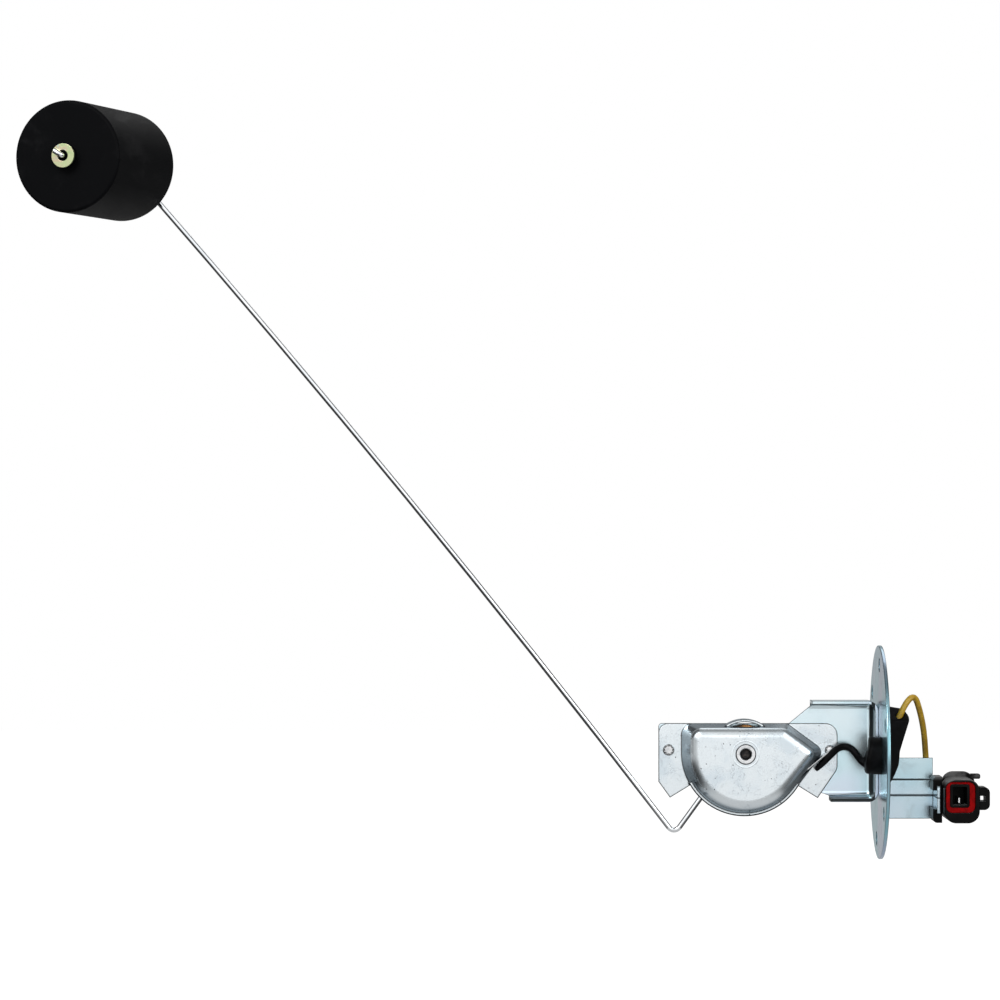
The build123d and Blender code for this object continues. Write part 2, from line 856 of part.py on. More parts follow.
def arm_carrier():
    along = short_leg_direction()
    inner = arm_corners()[0]
    tail = inner - along * (arm_inner_end + carrier_tail)
    root = polar(wiper_root, wiper_angle)
    lobe = wire_radius + carrier_wall
    outline = belt(
        [
            (root[0], root[1], lobe),
            (inner.X, inner.Z, lobe),
            (tail.X, tail.Z, lobe),
            (pivot_x, pivot_z, carrier_hub_radius),
        ]
    )
    body = slab(outline, carrier_back_y, carrier_front_y)
    body += disc(pivot_x, pivot_z, carrier_boss_radius, carrier_front_y, boss_front_y)
    body -= disc(pivot_x, pivot_z, shaft_radius + seat_clearance, carrier_back_y, boss_front_y)
    hook, bend, vee = arm_points()[:3]
    groove_radius = wire_radius + carrier_groove_clearance
    hook_end = hook - Vector(0, groove_end_gap, 0)
    body -= tube_along([hook_end, bend, vee], [inner_bend], groove_radius)
    middle_spot = inner - along * short_leg
    mouth = Rot(0, 0, short_leg_angle) * Rectangle(2 * short_leg, 2 * groove_radius)
    body -= slab(Pos(middle_spot.X, middle_spot.Z) * mouth, carrier_back_y, arm_y)
    rivet_back_y = carrier_front_y + wiper_rivet_length + end_play
    body -= disc(root[0], root[1], wiper_rivet_radius + seat_clearance, rivet_back_y, carrier_front_y)
    return body


def wiper_plane():
    """Plane through the pivot's axis and the wiper; its x runs outwards and its y away from the viewer."""
    turn = math.radians(wiper_angle)
    outward = Vector(math.cos(turn), 0, math.sin(turn))
    return Plane(origin=pivot, x_dir=outward, z_dir=outward.cross(Vector(0, 1, 0)))


def wiper():
    middle_y = carrier_front_y - wiper_thickness / 2
    path = Polyline(
        (wiper_root - wiper_width / 2, middle_y),
        (wiper_bend_radius, middle_y),
        (wiper_tip_radius, wiper_y - wiper_finger / 2),
        (wiper_tip_radius, wiper_y + wiper_finger / 2),
    )
    face = make_face(offset(path, wiper_thickness / 2, side=Side.BOTH).edges())
    leaf = extrude(wiper_plane() * face, wiper_width / 2, both=True)
    x, z = polar(wiper_root, wiper_angle)
    return leaf - disc(x, z, wiper_rivet_radius + seat_clearance, carrier_front_y, carrier_front_y - 1)


def wiper_contact():
    start = wiper_tip_radius + wiper_thickness / 2
    stop = card_radius - wire_diameter - contact_gap
    across = wiper_plane()
    face = Plane(origin=across.from_local_coords(Vector(start, wiper_y, 0)), z_dir=across.x_dir)
    return extrude(face * Circle(contact_diameter / 2), stop - start)


def wiper_rivet():
    x, z = polar(wiper_root, wiper_angle)
    head_y = carrier_front_y - wiper_thickness
    shank = disc(x, z, wiper_rivet_radius, carrier_front_y + wiper_rivet_length, head_y)
    head = disc(x, z, wiper_rivet_radius * 2, head_y, head_y - wiper_rivet_head)
    return shank + fillet(head.edges().sort_by(Axis.Y)[0], wiper_rivet_head / 2)


def float_plane(distance):
    """Plane across the float's axis at a distance from the wire's corner."""
    corner = arm_corners()[3]
    return Plane(origin=corner + float_axis() * distance, z_dir=float_axis())


def float_body():
    back = float_stations()[1]
    body = extrude(float_plane(back) * Circle(float_diameter / 2), float_length)
    body = fillet(body.edges().filter_by(GeomType.CIRCLE), float_edge)
    boss = extrude(float_plane(back + float_length) * Circle(float_boss_diameter / 2), float_boss_height)
    boss = fillet(boss.edges().sort_by(Axis.Y)[0], float_boss_round)
    bore = Circle(wire_radius + float_bore_clearance)
    return body + boss - extrude(float_plane(back) * bore, float_length + float_boss_height)


def float_washer(distance):
    ring = Circle(float_washer_diameter / 2) - Circle(float_washer_bore / 2)
    return extrude(float_plane(distance) * ring, float_washer_thickness)


def connector_bracket():
    steps = [(plate_top, 0.0), (band_top, 0.0), (band_top - band_step, -band_step)]
    steps += [(band_bottom + band_step, -band_step), (band_bottom, 0.0), (plate_bottom, 0.0)]
    front = [(plate_y + y, z) for z, y in steps]
    back = [(plate_y + y + bracket_sheet, z) for z, y in reversed(steps)]
    section = make_face(Polyline(*front, *back, close=True))
    sheet_end = plate_reach - bracket_sheet
    plate = extrude(Plane.YZ.offset(flange_thickness) * section, sheet_end - flange_thickness)
    foot = box(
        flange_thickness,
        flange_thickness + bracket_sheet,
        plate_y,
        plate_y + plate_foot_depth,
        plate_bottom + plate_foot_margin,
        plate_top - plate_foot_margin,
    )
    foot_corners = foot.edges().filter_by(Axis.X).filter_by(lambda e: e.center().Y > plate_y + bracket_sheet)
    foot = fillet(foot_corners, plate_foot_corner)
    tab = box(
        sheet_end,
        plate_reach,
        plate_y - tab_depth,
        plate_y + bracket_sheet,
        tab_bottom,
        tab_top,
    )
    tab = fillet([edge for edge in tab.edges().filter_by(Axis.X) if edge.center().Y < plate_y], tab_corner)
    body = plate + foot + tab
    return fillet([edge for edge in body.edges().filter_by(Axis.Z) if on_tab_bend(edge)], fold_round)


def on_tab_bend(edge):
    """Whether an upright edge is the outer one where the plate turns into the tab."""
    centre = edge.center()
    return abs(centre.Y - plate_y - bracket_sheet) < tolerance and abs(centre.X - plate_reach) < tolerance


def span(x_from, x_to, z_from, z_to):
    """Rectangle between two corners."""
    return Pos((x_from + x_to) / 2, (z_from + z_to) / 2) * Rectangle(x_to - x_from, z_to - z_from)


def connector_clip():
    """Clip that grips the tab from behind and in front and carries the shell on its right."""
    tab_left = plate_reach - bracket_sheet - clip_gap
    left = tab_left - clip_wall
    right = connector_x - shell_width / 2 - clip_gap
    top = tab_top + clip_hook
    bottom = tab_bottom - clip_hook
    outer = make_face(Polyline((left, bottom), (right, bottom), (right, top), (left, top), close=True))
    outer = fillet(outer.vertices().filter_by(lambda v: v.X < left + tolerance), clip_corner)
    slot = span(tab_left, plate_reach + clip_gap, tab_bottom - clip_gap, tab_top + clip_gap)
    opening = span(left - clip_wall, plate_reach, tab_bottom + clip_lip, tab_top - clip_lip)
    front_y = plate_y - tab_depth + clip_front_setback
    return slab(outer - slot - opening, front_y + clip_length, front_y)


def rounded(x, z, width, height, radius):
    """Rectangle with round corners round a middle point."""
    return Pos(x, z) * RectangleRounded(width, height, radius)


def edges_at(body, y):
    """Edges that lie at one depth."""
    return [edge for edge in body.edges() if abs(edge.center().Y - y) < tolerance]


def connector_shell():
    shell_outline = rounded(connector_x, connector_z, shell_width, shell_height, shell_round)
    shell = slab(shell_outline, shell_back_y, connector_front_y)
    shell = fillet(edges_at(shell, connector_front_y), shell_edge)
    tail_outline = rounded(socket_x, socket_z - tail_drop, tail_width, tail_height, tail_round)
    tail = slab(tail_outline, tail_back_y, shell_back_y)
    tail = fillet(edges_at(tail, tail_back_y), tail_edge)
    collar_front_y = shell_back_y - collar_length
    collar_z = connector_z + collar_rise
    collar_outline = rounded(connector_x + collar_shift, collar_z, collar_width, shell_height, shell_round)
    collar = slab(collar_outline, shell_back_y, collar_front_y)
    collar = fillet(edges_at(collar, collar_front_y), collar_edge)
    return shell + tail + collar


def connector_latch():
    """Side loop that the plug's catch goes through, and the small ear above it."""
    side = connector_x + shell_width / 2
    middle = side + (latch_reach - latch_root) / 2
    loop = rounded(middle, latch_z, latch_reach + latch_root, latch_height, latch_round)
    window_x = side + latch_wall
    half = latch_window / 2
    loop -= span(window_x, window_x + latch_window, latch_z - half, latch_z + half)
    front_y = connector_front_y + latch_setback
    ear_x = side + (ear_reach - latch_root) / 2
    ear = rounded(ear_x, ear_z, ear_reach + latch_root, ear_height, ear_height / 3)
    return slab(loop, front_y + latch_length, front_y) + slab(ear, shell_back_y, shell_back_y - ear_length)


def connector_body():
    body = connector_shell() + connector_latch()
    socket = rounded(socket_x, socket_z, socket_width, socket_height, socket_round)
    body -= slab(socket, socket_floor_y, connector_front_y)
    core_front_y = connector_front_y + core_setback
    core = rounded(core_x, core_z, core_width, core_height, core_round)
    body += slab(core, socket_floor_y, core_front_y)
    hollow = rounded(core_x, core_z, core_width - 2 * core_wall, core_height - 2 * core_wall, core_round / 2)
    body -= slab(hollow, socket_floor_y - socket_floor, core_front_y)
    wall_back_y = socket_floor_y + terminal_wall
    body -= disc(lead_exit_x, lead_exit_z, terminal_bore / 2, tail_back_y, wall_back_y)
    body -= slab(blade_outline(seat_clearance), wall_back_y, socket_floor_y - socket_floor)
    seal_front_y = tail_back_y - wire_seal_length
    return body - disc(lead_exit_x, lead_exit_z, wire_seal_diameter / 2, tail_back_y, seal_front_y)


def blade_outline(grow):
    """Section of the terminal's blade, or of its slot when grown by a clearance."""
    blade = Rectangle(terminal_thickness + 2 * grow, terminal_width + 2 * grow)
    return Pos(lead_exit_x, lead_exit_z) * blade


def connector_seal():
    front_y = connector_front_y + seal_setback
    gap = 2 * rubber_clearance
    ring = rounded(socket_x, socket_z, socket_width - gap, socket_height - gap, socket_round)
    ring -= rounded(core_x, core_z, core_width + gap, core_height + gap, core_round + rubber_clearance)
    body = slab(ring, front_y + seal_thickness, front_y)
    return fillet(edges_at(body, front_y), seal_edge)


def connector_terminal():
    crimp_from = socket_floor_y + terminal_wall + crimp_step
    crimp_to = shell_back_y + crimp_tail
    blade = slab(blade_outline(0), crimp_from, connector_front_y + terminal_setback)
    barrel = disc(lead_exit_x, lead_exit_z, terminal_bore / 2 - running_clearance, crimp_to, crimp_from)
    bore = lead_diameter / 2 + seat_clearance
    return blade + barrel - disc(lead_exit_x, lead_exit_z, bore, crimp_to, crimp_from + crimp_depth)


def wire_seal():
    back_y = tail_back_y + wire_seal_rise
    front_y = tail_back_y - wire_seal_length
    radius = wire_seal_diameter / 2 - rubber_clearance
    body = disc(lead_exit_x, lead_exit_z, radius, back_y, front_y + rubber_clearance)
    for index in range(groove_count):
        back = tail_back_y - groove_width - index * groove_pitch
        front = back - groove_width
        ring = disc(lead_exit_x, lead_exit_z, 2 * radius, back, front)
        body -= ring - disc(lead_exit_x, lead_exit_z, radius - groove_depth, back, front)
    bore = lead_diameter / 2 + rubber_clearance
    return body - disc(lead_exit_x, lead_exit_z, bore, back_y, front_y)


def signal_lead():
    return tube_along(lead_route, lead_radii, lead_diameter / 2)


def build_parts():
    rear_washer, front_washer = float_stations()[0], float_stations()[2]
    return {
        "mounting_flange": mounting_flange(),
        "support_bracket": support_bracket(),
        "sensor_housing": sensor_housing(),
        "housing_rivet_left": housing_rivet(rivet_left_x, rivet_left_head),
        "housing_rivet_right": housing_rivet(rivet_right_x, rivet_right_head),
        "pivot_bush_front": pivot_bush_front(),
        "pivot_bush_rear": pivot_bush_rear(),
        "pivot_shaft": pivot_shaft(),
        "spring_washer": spring_washer(),
        "spacer_washer": spacer_washer(),
        "resistor_card": resistor_card(),
        "resistor_winding": resistor_winding(),
        "card_holder": card_holder(),
        "card_rivets": card_rivets(),
        "terminal_tab": terminal_tab(),
        "lead_sleeve": lead_sleeve(),
        "inner_lead": inner_lead(),
        "feedthrough_grommet": feedthrough_grommet(),
        "float_arm": float_arm(),
        "arm_carrier": arm_carrier(),
        "wiper": wiper(),
        "wiper_contact": wiper_contact(),
        "wiper_rivet": wiper_rivet(),
        "float": float_body(),
        "float_washer_rear": float_washer(rear_washer),
        "float_washer_front": float_washer(front_washer),
        "connector_bracket": connector_bracket(),
        "connector_clip": connector_clip(),
        "connector_body": connector_body(),
        "connector_seal": connector_seal(),
        "connector_terminal": connector_terminal(),
        "wire_seal": wire_seal(),
        "signal_lead": signal_lead(),
    }


os.makedirs("parts", exist_ok=True)
for name, shape in build_parts().items():
    export_step(shape, f"parts/{name}.step")
    print(name, round(shape.volume, 2))
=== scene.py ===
import math
import bmesh
import bpy
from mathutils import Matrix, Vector, noise


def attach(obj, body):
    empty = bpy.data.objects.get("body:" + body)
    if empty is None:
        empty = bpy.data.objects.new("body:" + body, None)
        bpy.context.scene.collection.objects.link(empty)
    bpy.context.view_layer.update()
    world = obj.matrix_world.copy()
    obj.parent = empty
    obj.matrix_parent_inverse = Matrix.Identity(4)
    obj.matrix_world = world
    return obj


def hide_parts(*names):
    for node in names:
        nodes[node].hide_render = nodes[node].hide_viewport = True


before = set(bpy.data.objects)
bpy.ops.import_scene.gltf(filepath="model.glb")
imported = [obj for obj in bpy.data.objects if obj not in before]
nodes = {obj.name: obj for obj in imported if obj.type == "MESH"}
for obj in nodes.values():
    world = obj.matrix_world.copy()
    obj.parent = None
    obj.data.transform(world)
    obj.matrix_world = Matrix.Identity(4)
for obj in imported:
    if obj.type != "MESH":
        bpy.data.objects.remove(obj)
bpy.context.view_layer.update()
print("frame loaded, nodes:", len(nodes))

mm = 0.001
pivot = Vector((-52.3, 0.0, -0.6)) * mm  # axis of the arm, which runs along Y
edgeTurn = (0.945, 0.994)  # how well rounded and flat normals agree on an edge and beside it
bevelSamples = 12


class Wire:  # one socket; arithmetic on it adds Math nodes
    def __init__(self, graph, socket):
        self.graph = graph
        self.socket = socket

    def maths(self, operation, *others):
        values = {0: self}
        for index, other in enumerate(others):
            values[index + 1] = other
        return self.graph.add("ShaderNodeMath", {"operation": operation}, values)

    def __add__(self, other):
        return self.maths("ADD", other)

    def __mul__(self, other):
        return self.maths("MULTIPLY", other)

    def __sub__(self, other):
        return self.maths("SUBTRACT", other)

    def __rsub__(self, other):
        return self.graph.add("ShaderNodeMath", {"operation": "SUBTRACT"}, {0: other, 1: self})

    def __neg__(self):
        return 0.0 - self

    __radd__ = __add__
    __rmul__ = __mul__

    def between(self, low, high):  # 0 under low, 1 over high
        values = {"Value": self, "From Min": low, "From Max": high}
        return self.graph.add("ShaderNodeMapRange", {"interpolation_type": "SMOOTHSTEP"}, values)

    def near(self, middle, inner, outer):  # 1 within inner of the middle, 0 beyond outer
        return 1.0 - (self - middle).maths("ABSOLUTE").between(inner, outer)

    def spread(self, least, added):
        return self * added + least


class Graph:  # a node tree that is filled by one method
    def __init__(self, tree):
        self.tree = tree

    def add(self, kind, settings=None, values=None, output=0):
        node = self.tree.nodes.new(kind)
        for name, value in (settings or {}).items():
            if name == "stops":
                self.setStops(node.color_ramp, value)
            else:
                setattr(node, name, value)
        for name, value in (values or {}).items():
            if isinstance(value, Wire):
                self.tree.links.new(value.socket, node.inputs[name])
            else:
                node.inputs[name].default_value = value
        return Wire(self, node.outputs[output])

    def setStops(self, ramp, stops):
        while len(ramp.elements) < len(stops):
            ramp.elements.new(0.5)
        for element, (place, colour) in zip(ramp.elements, stops):
            element.position = place
            element.color = (*colour, 1.0)

    def vector(self, operation, first, second, output=0):
        return self.add("ShaderNodeVectorMath", {"operation": operation}, {0: first, 1: second}, output)

    def spot(self):  # where a point of the piece is, in metres
        return self.add("ShaderNodeTexCoord", output="Object")

    def place(self, stretch=(1.0, 1.0, 1.0), turn=(0.0, 0.0, 0.0)):
        values = {"Vector": self.spot(), "Scale": stretch, "Rotation": turn}
        return self.add("ShaderNodeMapping", None, values)

    def noise(self, scale, detail=3.0, roughness=0.55, where=None, distortion=0.0):
        values = {"Scale": scale, "Detail": detail, "Roughness": roughness, "Distortion": distortion}
        values["Vector"] = where or self.place()
        return self.add("ShaderNodeTexNoise", None, values)

    def specks(self, scale, sizes):  # 1 in small spots
        away = self.add("ShaderNodeTexVoronoi", None, {"Scale": scale, "Vector": self.place()})
        return 1.0 - away.between(*sizes)

    def blend(self, factor, first, second):
        values = {0: factor, 6: self.colour(first), 7: self.colour(second)}
        return self.add("ShaderNodeMix", {"data_type": "RGBA"}, values, output=2)

    def mix(self, factor, first, second):  # of two numbers
        return self.add("ShaderNodeMix", {"data_type": "FLOAT"}, {0: factor, 2: first, 3: second})

    def colour(self, value):
        return value if isinstance(value, Wire) else (*value, 1.0)

    def roundEdges(self, radius):
        return self.add("ShaderNodeBevel", {"samples": bevelSamples}, {"Radius": radius})

    def towards(self, x, y, z):  # how much the surface itself faces a direction
        normal = self.add("ShaderNodeTexCoord", output="Normal")
        return self.vector("DOT_PRODUCT", normal, (x, y, z), output=1)

    def along(self, axis):  # one object coordinate, in metres
        return self.add("ShaderNodeSeparateXYZ", None, {0: self.spot()}, output=axis)

    def fromShaft(self):  # distance from the arm's axis, in metres
        flat = self.vector("MULTIPLY", self.spot(), (1.0, 0.0, 1.0))
        return self.vector("DISTANCE", flat, tuple(pivot), output=1)

    def edgeMask(self, rounded):  # 1 right on an edge, 0 on open faces
        face = self.add("ShaderNodeNewGeometry", output="Normal")
        return 1.0 - self.vector("DOT_PRODUCT", rounded, face, output=1).between(*edgeTurn)

    def bump(self, height, distance, strength, normal=None):
        values = {"Height": height, "Distance": distance, "Strength": strength}
        if normal:
            values["Normal"] = normal
        return self.add("ShaderNodeBump", None, values)

    def rays(self):  # rays that go straight to the camera, and mirrored ones
        camera, glossy, through = [
            self.add("ShaderNodeLightPath", output=name)
            for name in ("Is Camera Ray", "Is Glossy Ray", "Is Transmission Ray")
        ]
        return camera.maths("MAXIMUM", through), glossy


def makeMaterial(name, build):
    material = bpy.data.materials.new(name)
    material.use_nodes = True
    graph = Graph(material.node_tree)
    shader = material.node_tree.nodes["Principled BSDF"]
    for socket, value in build(graph).items():
        if isinstance(value, Wire):
            material.node_tree.links.new(value.socket, shader.inputs[socket])
        else:
            shader.inputs[socket].default_value = value
    return material


# a noise is (scale, detail, roughness); a mix is where a mask starts and where it is full;
# a relief is (depth, strength); rough is the least and how much the clouds add
zincLook = {
    "broad": (38.0, 2.0, 0.5),
    "broadMix": (0.36, 0.62),
    "slanted": (30.0, 1.0, 0.5),
    "slantedTurn": (0.7, 0.2, 0.4),
    "slantedMix": (0.45, 0.68),
    "slantedShare": 0.7,
    "cloud": (150.0, 4.0, 0.6),
    "cloudTwist": 0.6,
    "stainMix": (0.50, 0.70),
    "stainColour": (0.42, 0.50, 0.54),
    "fine": (2600.0, 3.0, 0.6),
    "relief": (0.002 * mm, 0.4),
    "cloudRelief": 2.0,
    "shearedAndShade": (0.008, 0.012, 0.015),  # painted shade: a dark outline on every edge, partly the real cut edge
    "shearedAndShadeDull": 0.9,
    "shearedAndShadeRough": 0.3,
    "edgeRound": 0.50 * mm,
}
foldShadeLook = {  # painted shade along the tight insides of the bracket's folds
    "colour": (0.006, 0.012, 0.014),
    "from": -2.75 * mm,  # the fold at the flange
    "to": -1.35 * mm,
    "waver": 0.9 * mm,
    "waverNoise": (130.0, 2.0, 0.5),
    "waverStretch": (0.2, 0.2, 1.0),
    "softFrom": 0.15 * mm,
    "softTo": 0.1 * mm,
    "lipLow": -19.3 * mm,  # and the one at the lower lip
    "lipHigh": -18.1 * mm,
    "softLip": 0.2 * mm,
    "back": (9.1 * mm, 9.3 * mm),
}
bracketLook = {
    "pale": (0.82, 0.95, 1.0),
    "teal": (0.69, 0.90, 0.97),
    "violet": (0.80, 0.87, 1.0),
    "stain": 0.10,
    "rough": (0.18, 0.28),
}
# a darker copy of the bracket's zinc: the flange's lower tone is painted shade
flangeShadedLook = {
    "pale": (0.40, 0.62, 0.72),
    "teal": (0.28, 0.54, 0.62),
    "violet": (0.45, 0.48, 0.63),
    "stain": 0.35,
    "rough": (0.15, 0.27),
}
tabLook = {
    "pale": (0.66, 0.82, 0.88),
    "teal": (0.50, 0.71, 0.79),
    "violet": (0.68, 0.77, 0.90),
    "stain": 0.40,
    "rough": (0.14, 0.26),
    "bandTop": -10.75 * mm,
    "bandBottom": -16.95 * mm,
    "step": (0.15 * mm, 0.32 * mm),
}


def zincSurface(graph, look, shade=None):
    cloud = graph.noise(*zincLook["cloud"], distortion=zincLook["cloudTwist"])
    slanted = graph.noise(*zincLook["slanted"], graph.place(turn=zincLook["slantedTurn"]))
    violet = slanted.between(*zincLook["slantedMix"]) * zincLook["slantedShare"]
    stain = cloud.between(*zincLook["stainMix"]) * look["stain"]
    broad = graph.noise(*zincLook["broad"]).between(*zincLook["broadMix"])
    base = graph.blend(broad, look["pale"], look["teal"])
    base = graph.blend(violet, base, look["violet"])
    base = graph.blend(stain, base, zincLook["stainColour"])
    # a dark painted outline on every edge, as shade, partly the real cut edge
    edges = graph.roundEdges(zincLook["edgeRound"])
    cutAndShade = graph.edgeMask(edges)
    base = graph.blend(cutAndShade, base, zincLook["shearedAndShade"])
    smooth, dull = look["rough"]
    rough = cloud.spread(smooth, dull - smooth)
    height = graph.noise(*zincLook["fine"]) + cloud * zincLook["cloudRelief"]
    if shade:
        base = graph.blend(shade, base, foldShadeLook["colour"])
        cutAndShade = cutAndShade.maths("MAXIMUM", shade)
    return {
        "Base Color": base,
        "Metallic": 1.0 - cutAndShade * zincLook["shearedAndShadeDull"],
        "Roughness": rough + cutAndShade * zincLook["shearedAndShadeRough"],
        "Normal": graph.bump(height, *zincLook["relief"], edges),
    }


def bracketZinc(graph):
    # painted shade in the folds and at the lower lip, on the front only
    waver = graph.noise(*foldShadeLook["waverNoise"], graph.place(foldShadeLook["waverStretch"]))
    across = graph.along("X") + (waver - 0.5) * foldShadeLook["waver"]
    start, soft = foldShadeLook["from"], foldShadeLook["softFrom"]
    foldShade = across.between(start - soft, start + soft)
    foldShade = foldShade * (1.0 - graph.along("X").between(foldShadeLook["to"], foldShadeLook["to"] + foldShadeLook["softTo"]))
    height = graph.along("Z")
    low, high, soft = foldShadeLook["lipLow"], foldShadeLook["lipHigh"], foldShadeLook["softLip"]
    lipShade = height.between(low - soft, low + soft) * (1.0 - height.between(high - soft, high + soft))
    front = 1.0 - graph.along("Y").between(*foldShadeLook["back"])
    return zincSurface(graph, bracketLook, foldShade.maths("MAXIMUM", lipShade) * front)


def flangeZinc(graph):
    return zincSurface(graph, flangeShadedLook)


def tabZinc(graph):  # painted shade in the two steps beside its raised band
    height = graph.along("Z")
    upper = height.near(tabLook["bandTop"], *tabLook["step"])
    lower = height.near(tabLook["bandBottom"], *tabLook["step"])
    return zincSurface(graph, tabLook, upper.maths("MAXIMUM", lower))


housingLook = {
    "light": (0.90, 0.965, 1.0),
    "dark": (0.76, 0.85, 0.91),
    "cloud": (70.0, 4.0, 0.58),
    "cloudTwist": 0.4,
    "cloudMix": (0.42, 0.72),
    "fine": (1500.0, 4.0, 0.6),
    "relief": (0.008 * mm, 0.5),
    "fineRelief": 0.25,
    "cloudRelief": 1.2,
    "pitRelief": 3.0,
    "ringRelief": 6.0,
    "rough": (0.19, 0.14),
    "pitRough": 0.3,
    "wallRough": 0.05,
    "dullRough": 0.2,
    "dullMetal": 0.85,
    "wall": (0.40, 0.45, 0.48),  # painted shade: the drawn wall is darker than the flat front
    "wallTurn": (0.35, 0.93),
    "wallShade": 0.35,
    "drag": (120.0, 4.0, 0.6),  # and that painted shade is drawn out in streaks
    "dragStretch": (1.0, 0.15, 1.0),
    "dragMix": (0.3, 0.7),
    "dragSpread": (0.6, 0.4),
    "grazing": (0.50, 0.55, 0.59, 1.0),  # walls seen nearly along their face mirror less
    "corner": (-43.0 * mm, -29.0 * mm),  # painted shade, darker still, in the tight corner at the right
    "cornerShade": 0.95,
    "cornerColour": (0.05, 0.06, 0.07),
    "pitScale": 400.0,
    "pitSize": (0.07, 0.14),
    "pitPatches": (75.0, 2.0, 0.5),
    "pitTurn": (0.3, 0.0, 0.9),
    "pitMix": (0.42, 0.50),
    "pitShade": 0.9,
    "pitColour": (0.05, 0.06, 0.07),
    "veins": (110.0, 5.0, 0.68),
    "veinTurn": (0.0, 0.7, 0.2),
    "veinWidth": (0.002, 0.008),
    "veinMix": (0.40, 0.56),
    "veinSpread": (0.1, 0.7),
    "veinShade": 0.6,
    "veinColour": (0.30, 0.33, 0.37),
    "scuffsAndSheen": (240.0, 3.0, 0.7),
    "scuffStretch": (5.0, 1.0, 1.0),
    "scuffTurn": (0.0, 0.5, 0.0),
    "scuffAndSheenMix": (0.60, 0.72),
    "scuffAndSheenShare": 0.25,
    "scuffColour": (0.55, 0.60, 0.64),
    "edgeRound": 0.80 * mm,
    "rim": (24.45 * mm, 24.55 * mm),  # painted shade on the edge of the relieved lower rim
    "rimLow": (8.5 * mm, 9.5 * mm),
    "rimFront": (3.6 * mm, 3.9 * mm),
    "rimBack": (5.6 * mm, 6.4 * mm),
    "ringRadius": 5.2 * mm,  # pressed round the bush
    "ringWidth": 0.35 * mm,
}


# the lower rim where painted shade goes
def rimMask(graph, away):
    depth = graph.along("Y")
    rim = away.between(*housingLook["rim"]) * depth.between(*housingLook["rimFront"])
    rim = rim * (1.0 - depth.between(*housingLook["rimBack"]))
    return rim * (-graph.along("Z")).between(*housingLook["rimLow"])


def housingZinc(graph):
    cloud = graph.noise(*housingLook["cloud"], distortion=housingLook["cloudTwist"])
    patches = graph.noise(*housingLook["pitPatches"], graph.place(turn=housingLook["pitTurn"]))
    pits = graph.specks(housingLook["pitScale"], housingLook["pitSize"])
    pits = pits * patches.between(*housingLook["pitMix"])
    veins = graph.noise(*housingLook["veins"], graph.place(turn=housingLook["veinTurn"]))
    veined = cloud.between(*housingLook["veinMix"]).spread(*housingLook["veinSpread"])
    veins = veins.near(0.5, *housingLook["veinWidth"]) * veined
    scuffsAndSheen = graph.place(housingLook["scuffStretch"], housingLook["scuffTurn"])
    scuffsAndSheen = graph.noise(*housingLook["scuffsAndSheen"], scuffsAndSheen).between(*housingLook["scuffAndSheenMix"])
    drag = graph.noise(*housingLook["drag"], graph.place(housingLook["dragStretch"]))
    drag = drag.between(*housingLook["dragMix"]).spread(*housingLook["dragSpread"])
    wall = 1.0 - graph.towards(0.0, -1.0, 0.0).between(*housingLook["wallTurn"])
    corner = graph.along("X").between(*housingLook["corner"]) * wall
    base = graph.blend(cloud.between(*housingLook["cloudMix"]), housingLook["light"], housingLook["dark"])
    base = graph.blend(scuffsAndSheen * housingLook["scuffAndSheenShare"], base, housingLook["scuffColour"])
    # painted shade on the walls, in streaks
    base = graph.blend(wall * drag * housingLook["wallShade"], base, housingLook["wall"])
    # painted shade in the right corner
    base = graph.blend(corner * housingLook["cornerShade"], base, housingLook["cornerColour"])
    base = graph.blend(veins * (1.0 - wall) * housingLook["veinShade"], base, housingLook["veinColour"])
    base = graph.blend(pits * housingLook["pitShade"], base, housingLook["pitColour"])
    away = graph.fromShaft()
    ring = away.near(housingLook["ringRadius"], 0.0, housingLook["ringWidth"])
    # a dark painted outline on the edges and the lower rim, as shade
    edges = graph.roundEdges(housingLook["edgeRound"])
    cutAndShade = graph.edgeMask(edges).maths("MAXIMUM", rimMask(graph, away))
    base = graph.blend(cutAndShade, base, zincLook["shearedAndShade"])
    height = graph.noise(*housingLook["fine"]) * housingLook["fineRelief"]
    height = height + cloud * housingLook["cloudRelief"]
    height = height - pits * housingLook["pitRelief"] + ring * housingLook["ringRelief"]
    # edges, rim and corner lose metal and gain roughness, to deepen the painted shade
    dull = cutAndShade.maths("MAXIMUM", corner)
    rough = cloud.spread(*housingLook["rough"]) + pits * housingLook["pitRough"]
    return {
        "Base Color": base,
        "Metallic": 1.0 - dull * housingLook["dullMetal"],
        "Roughness": rough - wall * housingLook["wallRough"] + dull * housingLook["dullRough"],
        "Normal": graph.bump(height, *housingLook["relief"], edges),
        "Specular Tint": housingLook["grazing"],
    }


wireLook = {
    "streak": (90.0, 3.0, 0.5),
    "mix": (0.35, 0.7),
    "pale": (0.88, 0.90, 0.92),
    "grey": (0.74, 0.77, 0.80),
    "rough": (0.07, 0.08),
}


def brightWire(graph):
    streak = graph.noise(*wireLook["streak"])
    base = graph.blend(streak.between(*wireLook["mix"]), wireLook["pale"], wireLook["grey"])
    return {"Base Color": base, "Metallic": 1.0, "Roughness": streak.spread(*wireLook["rough"])}


steelLook = {
    "grain": (1800.0, 3.0, 0.6),
    "relief": (0.003 * mm, 0.5),
    "rough": (0.16, 0.16),
    "shearedAndShadeDull": 0.85,
    "cloud": (260.0, 3.0, 0.6),
    "mix": (0.4, 0.65),
    "pale": (0.90, 0.91, 0.92),
    "grey": (0.70, 0.72, 0.74),
    "edgeRound": 0.45 * mm,
}


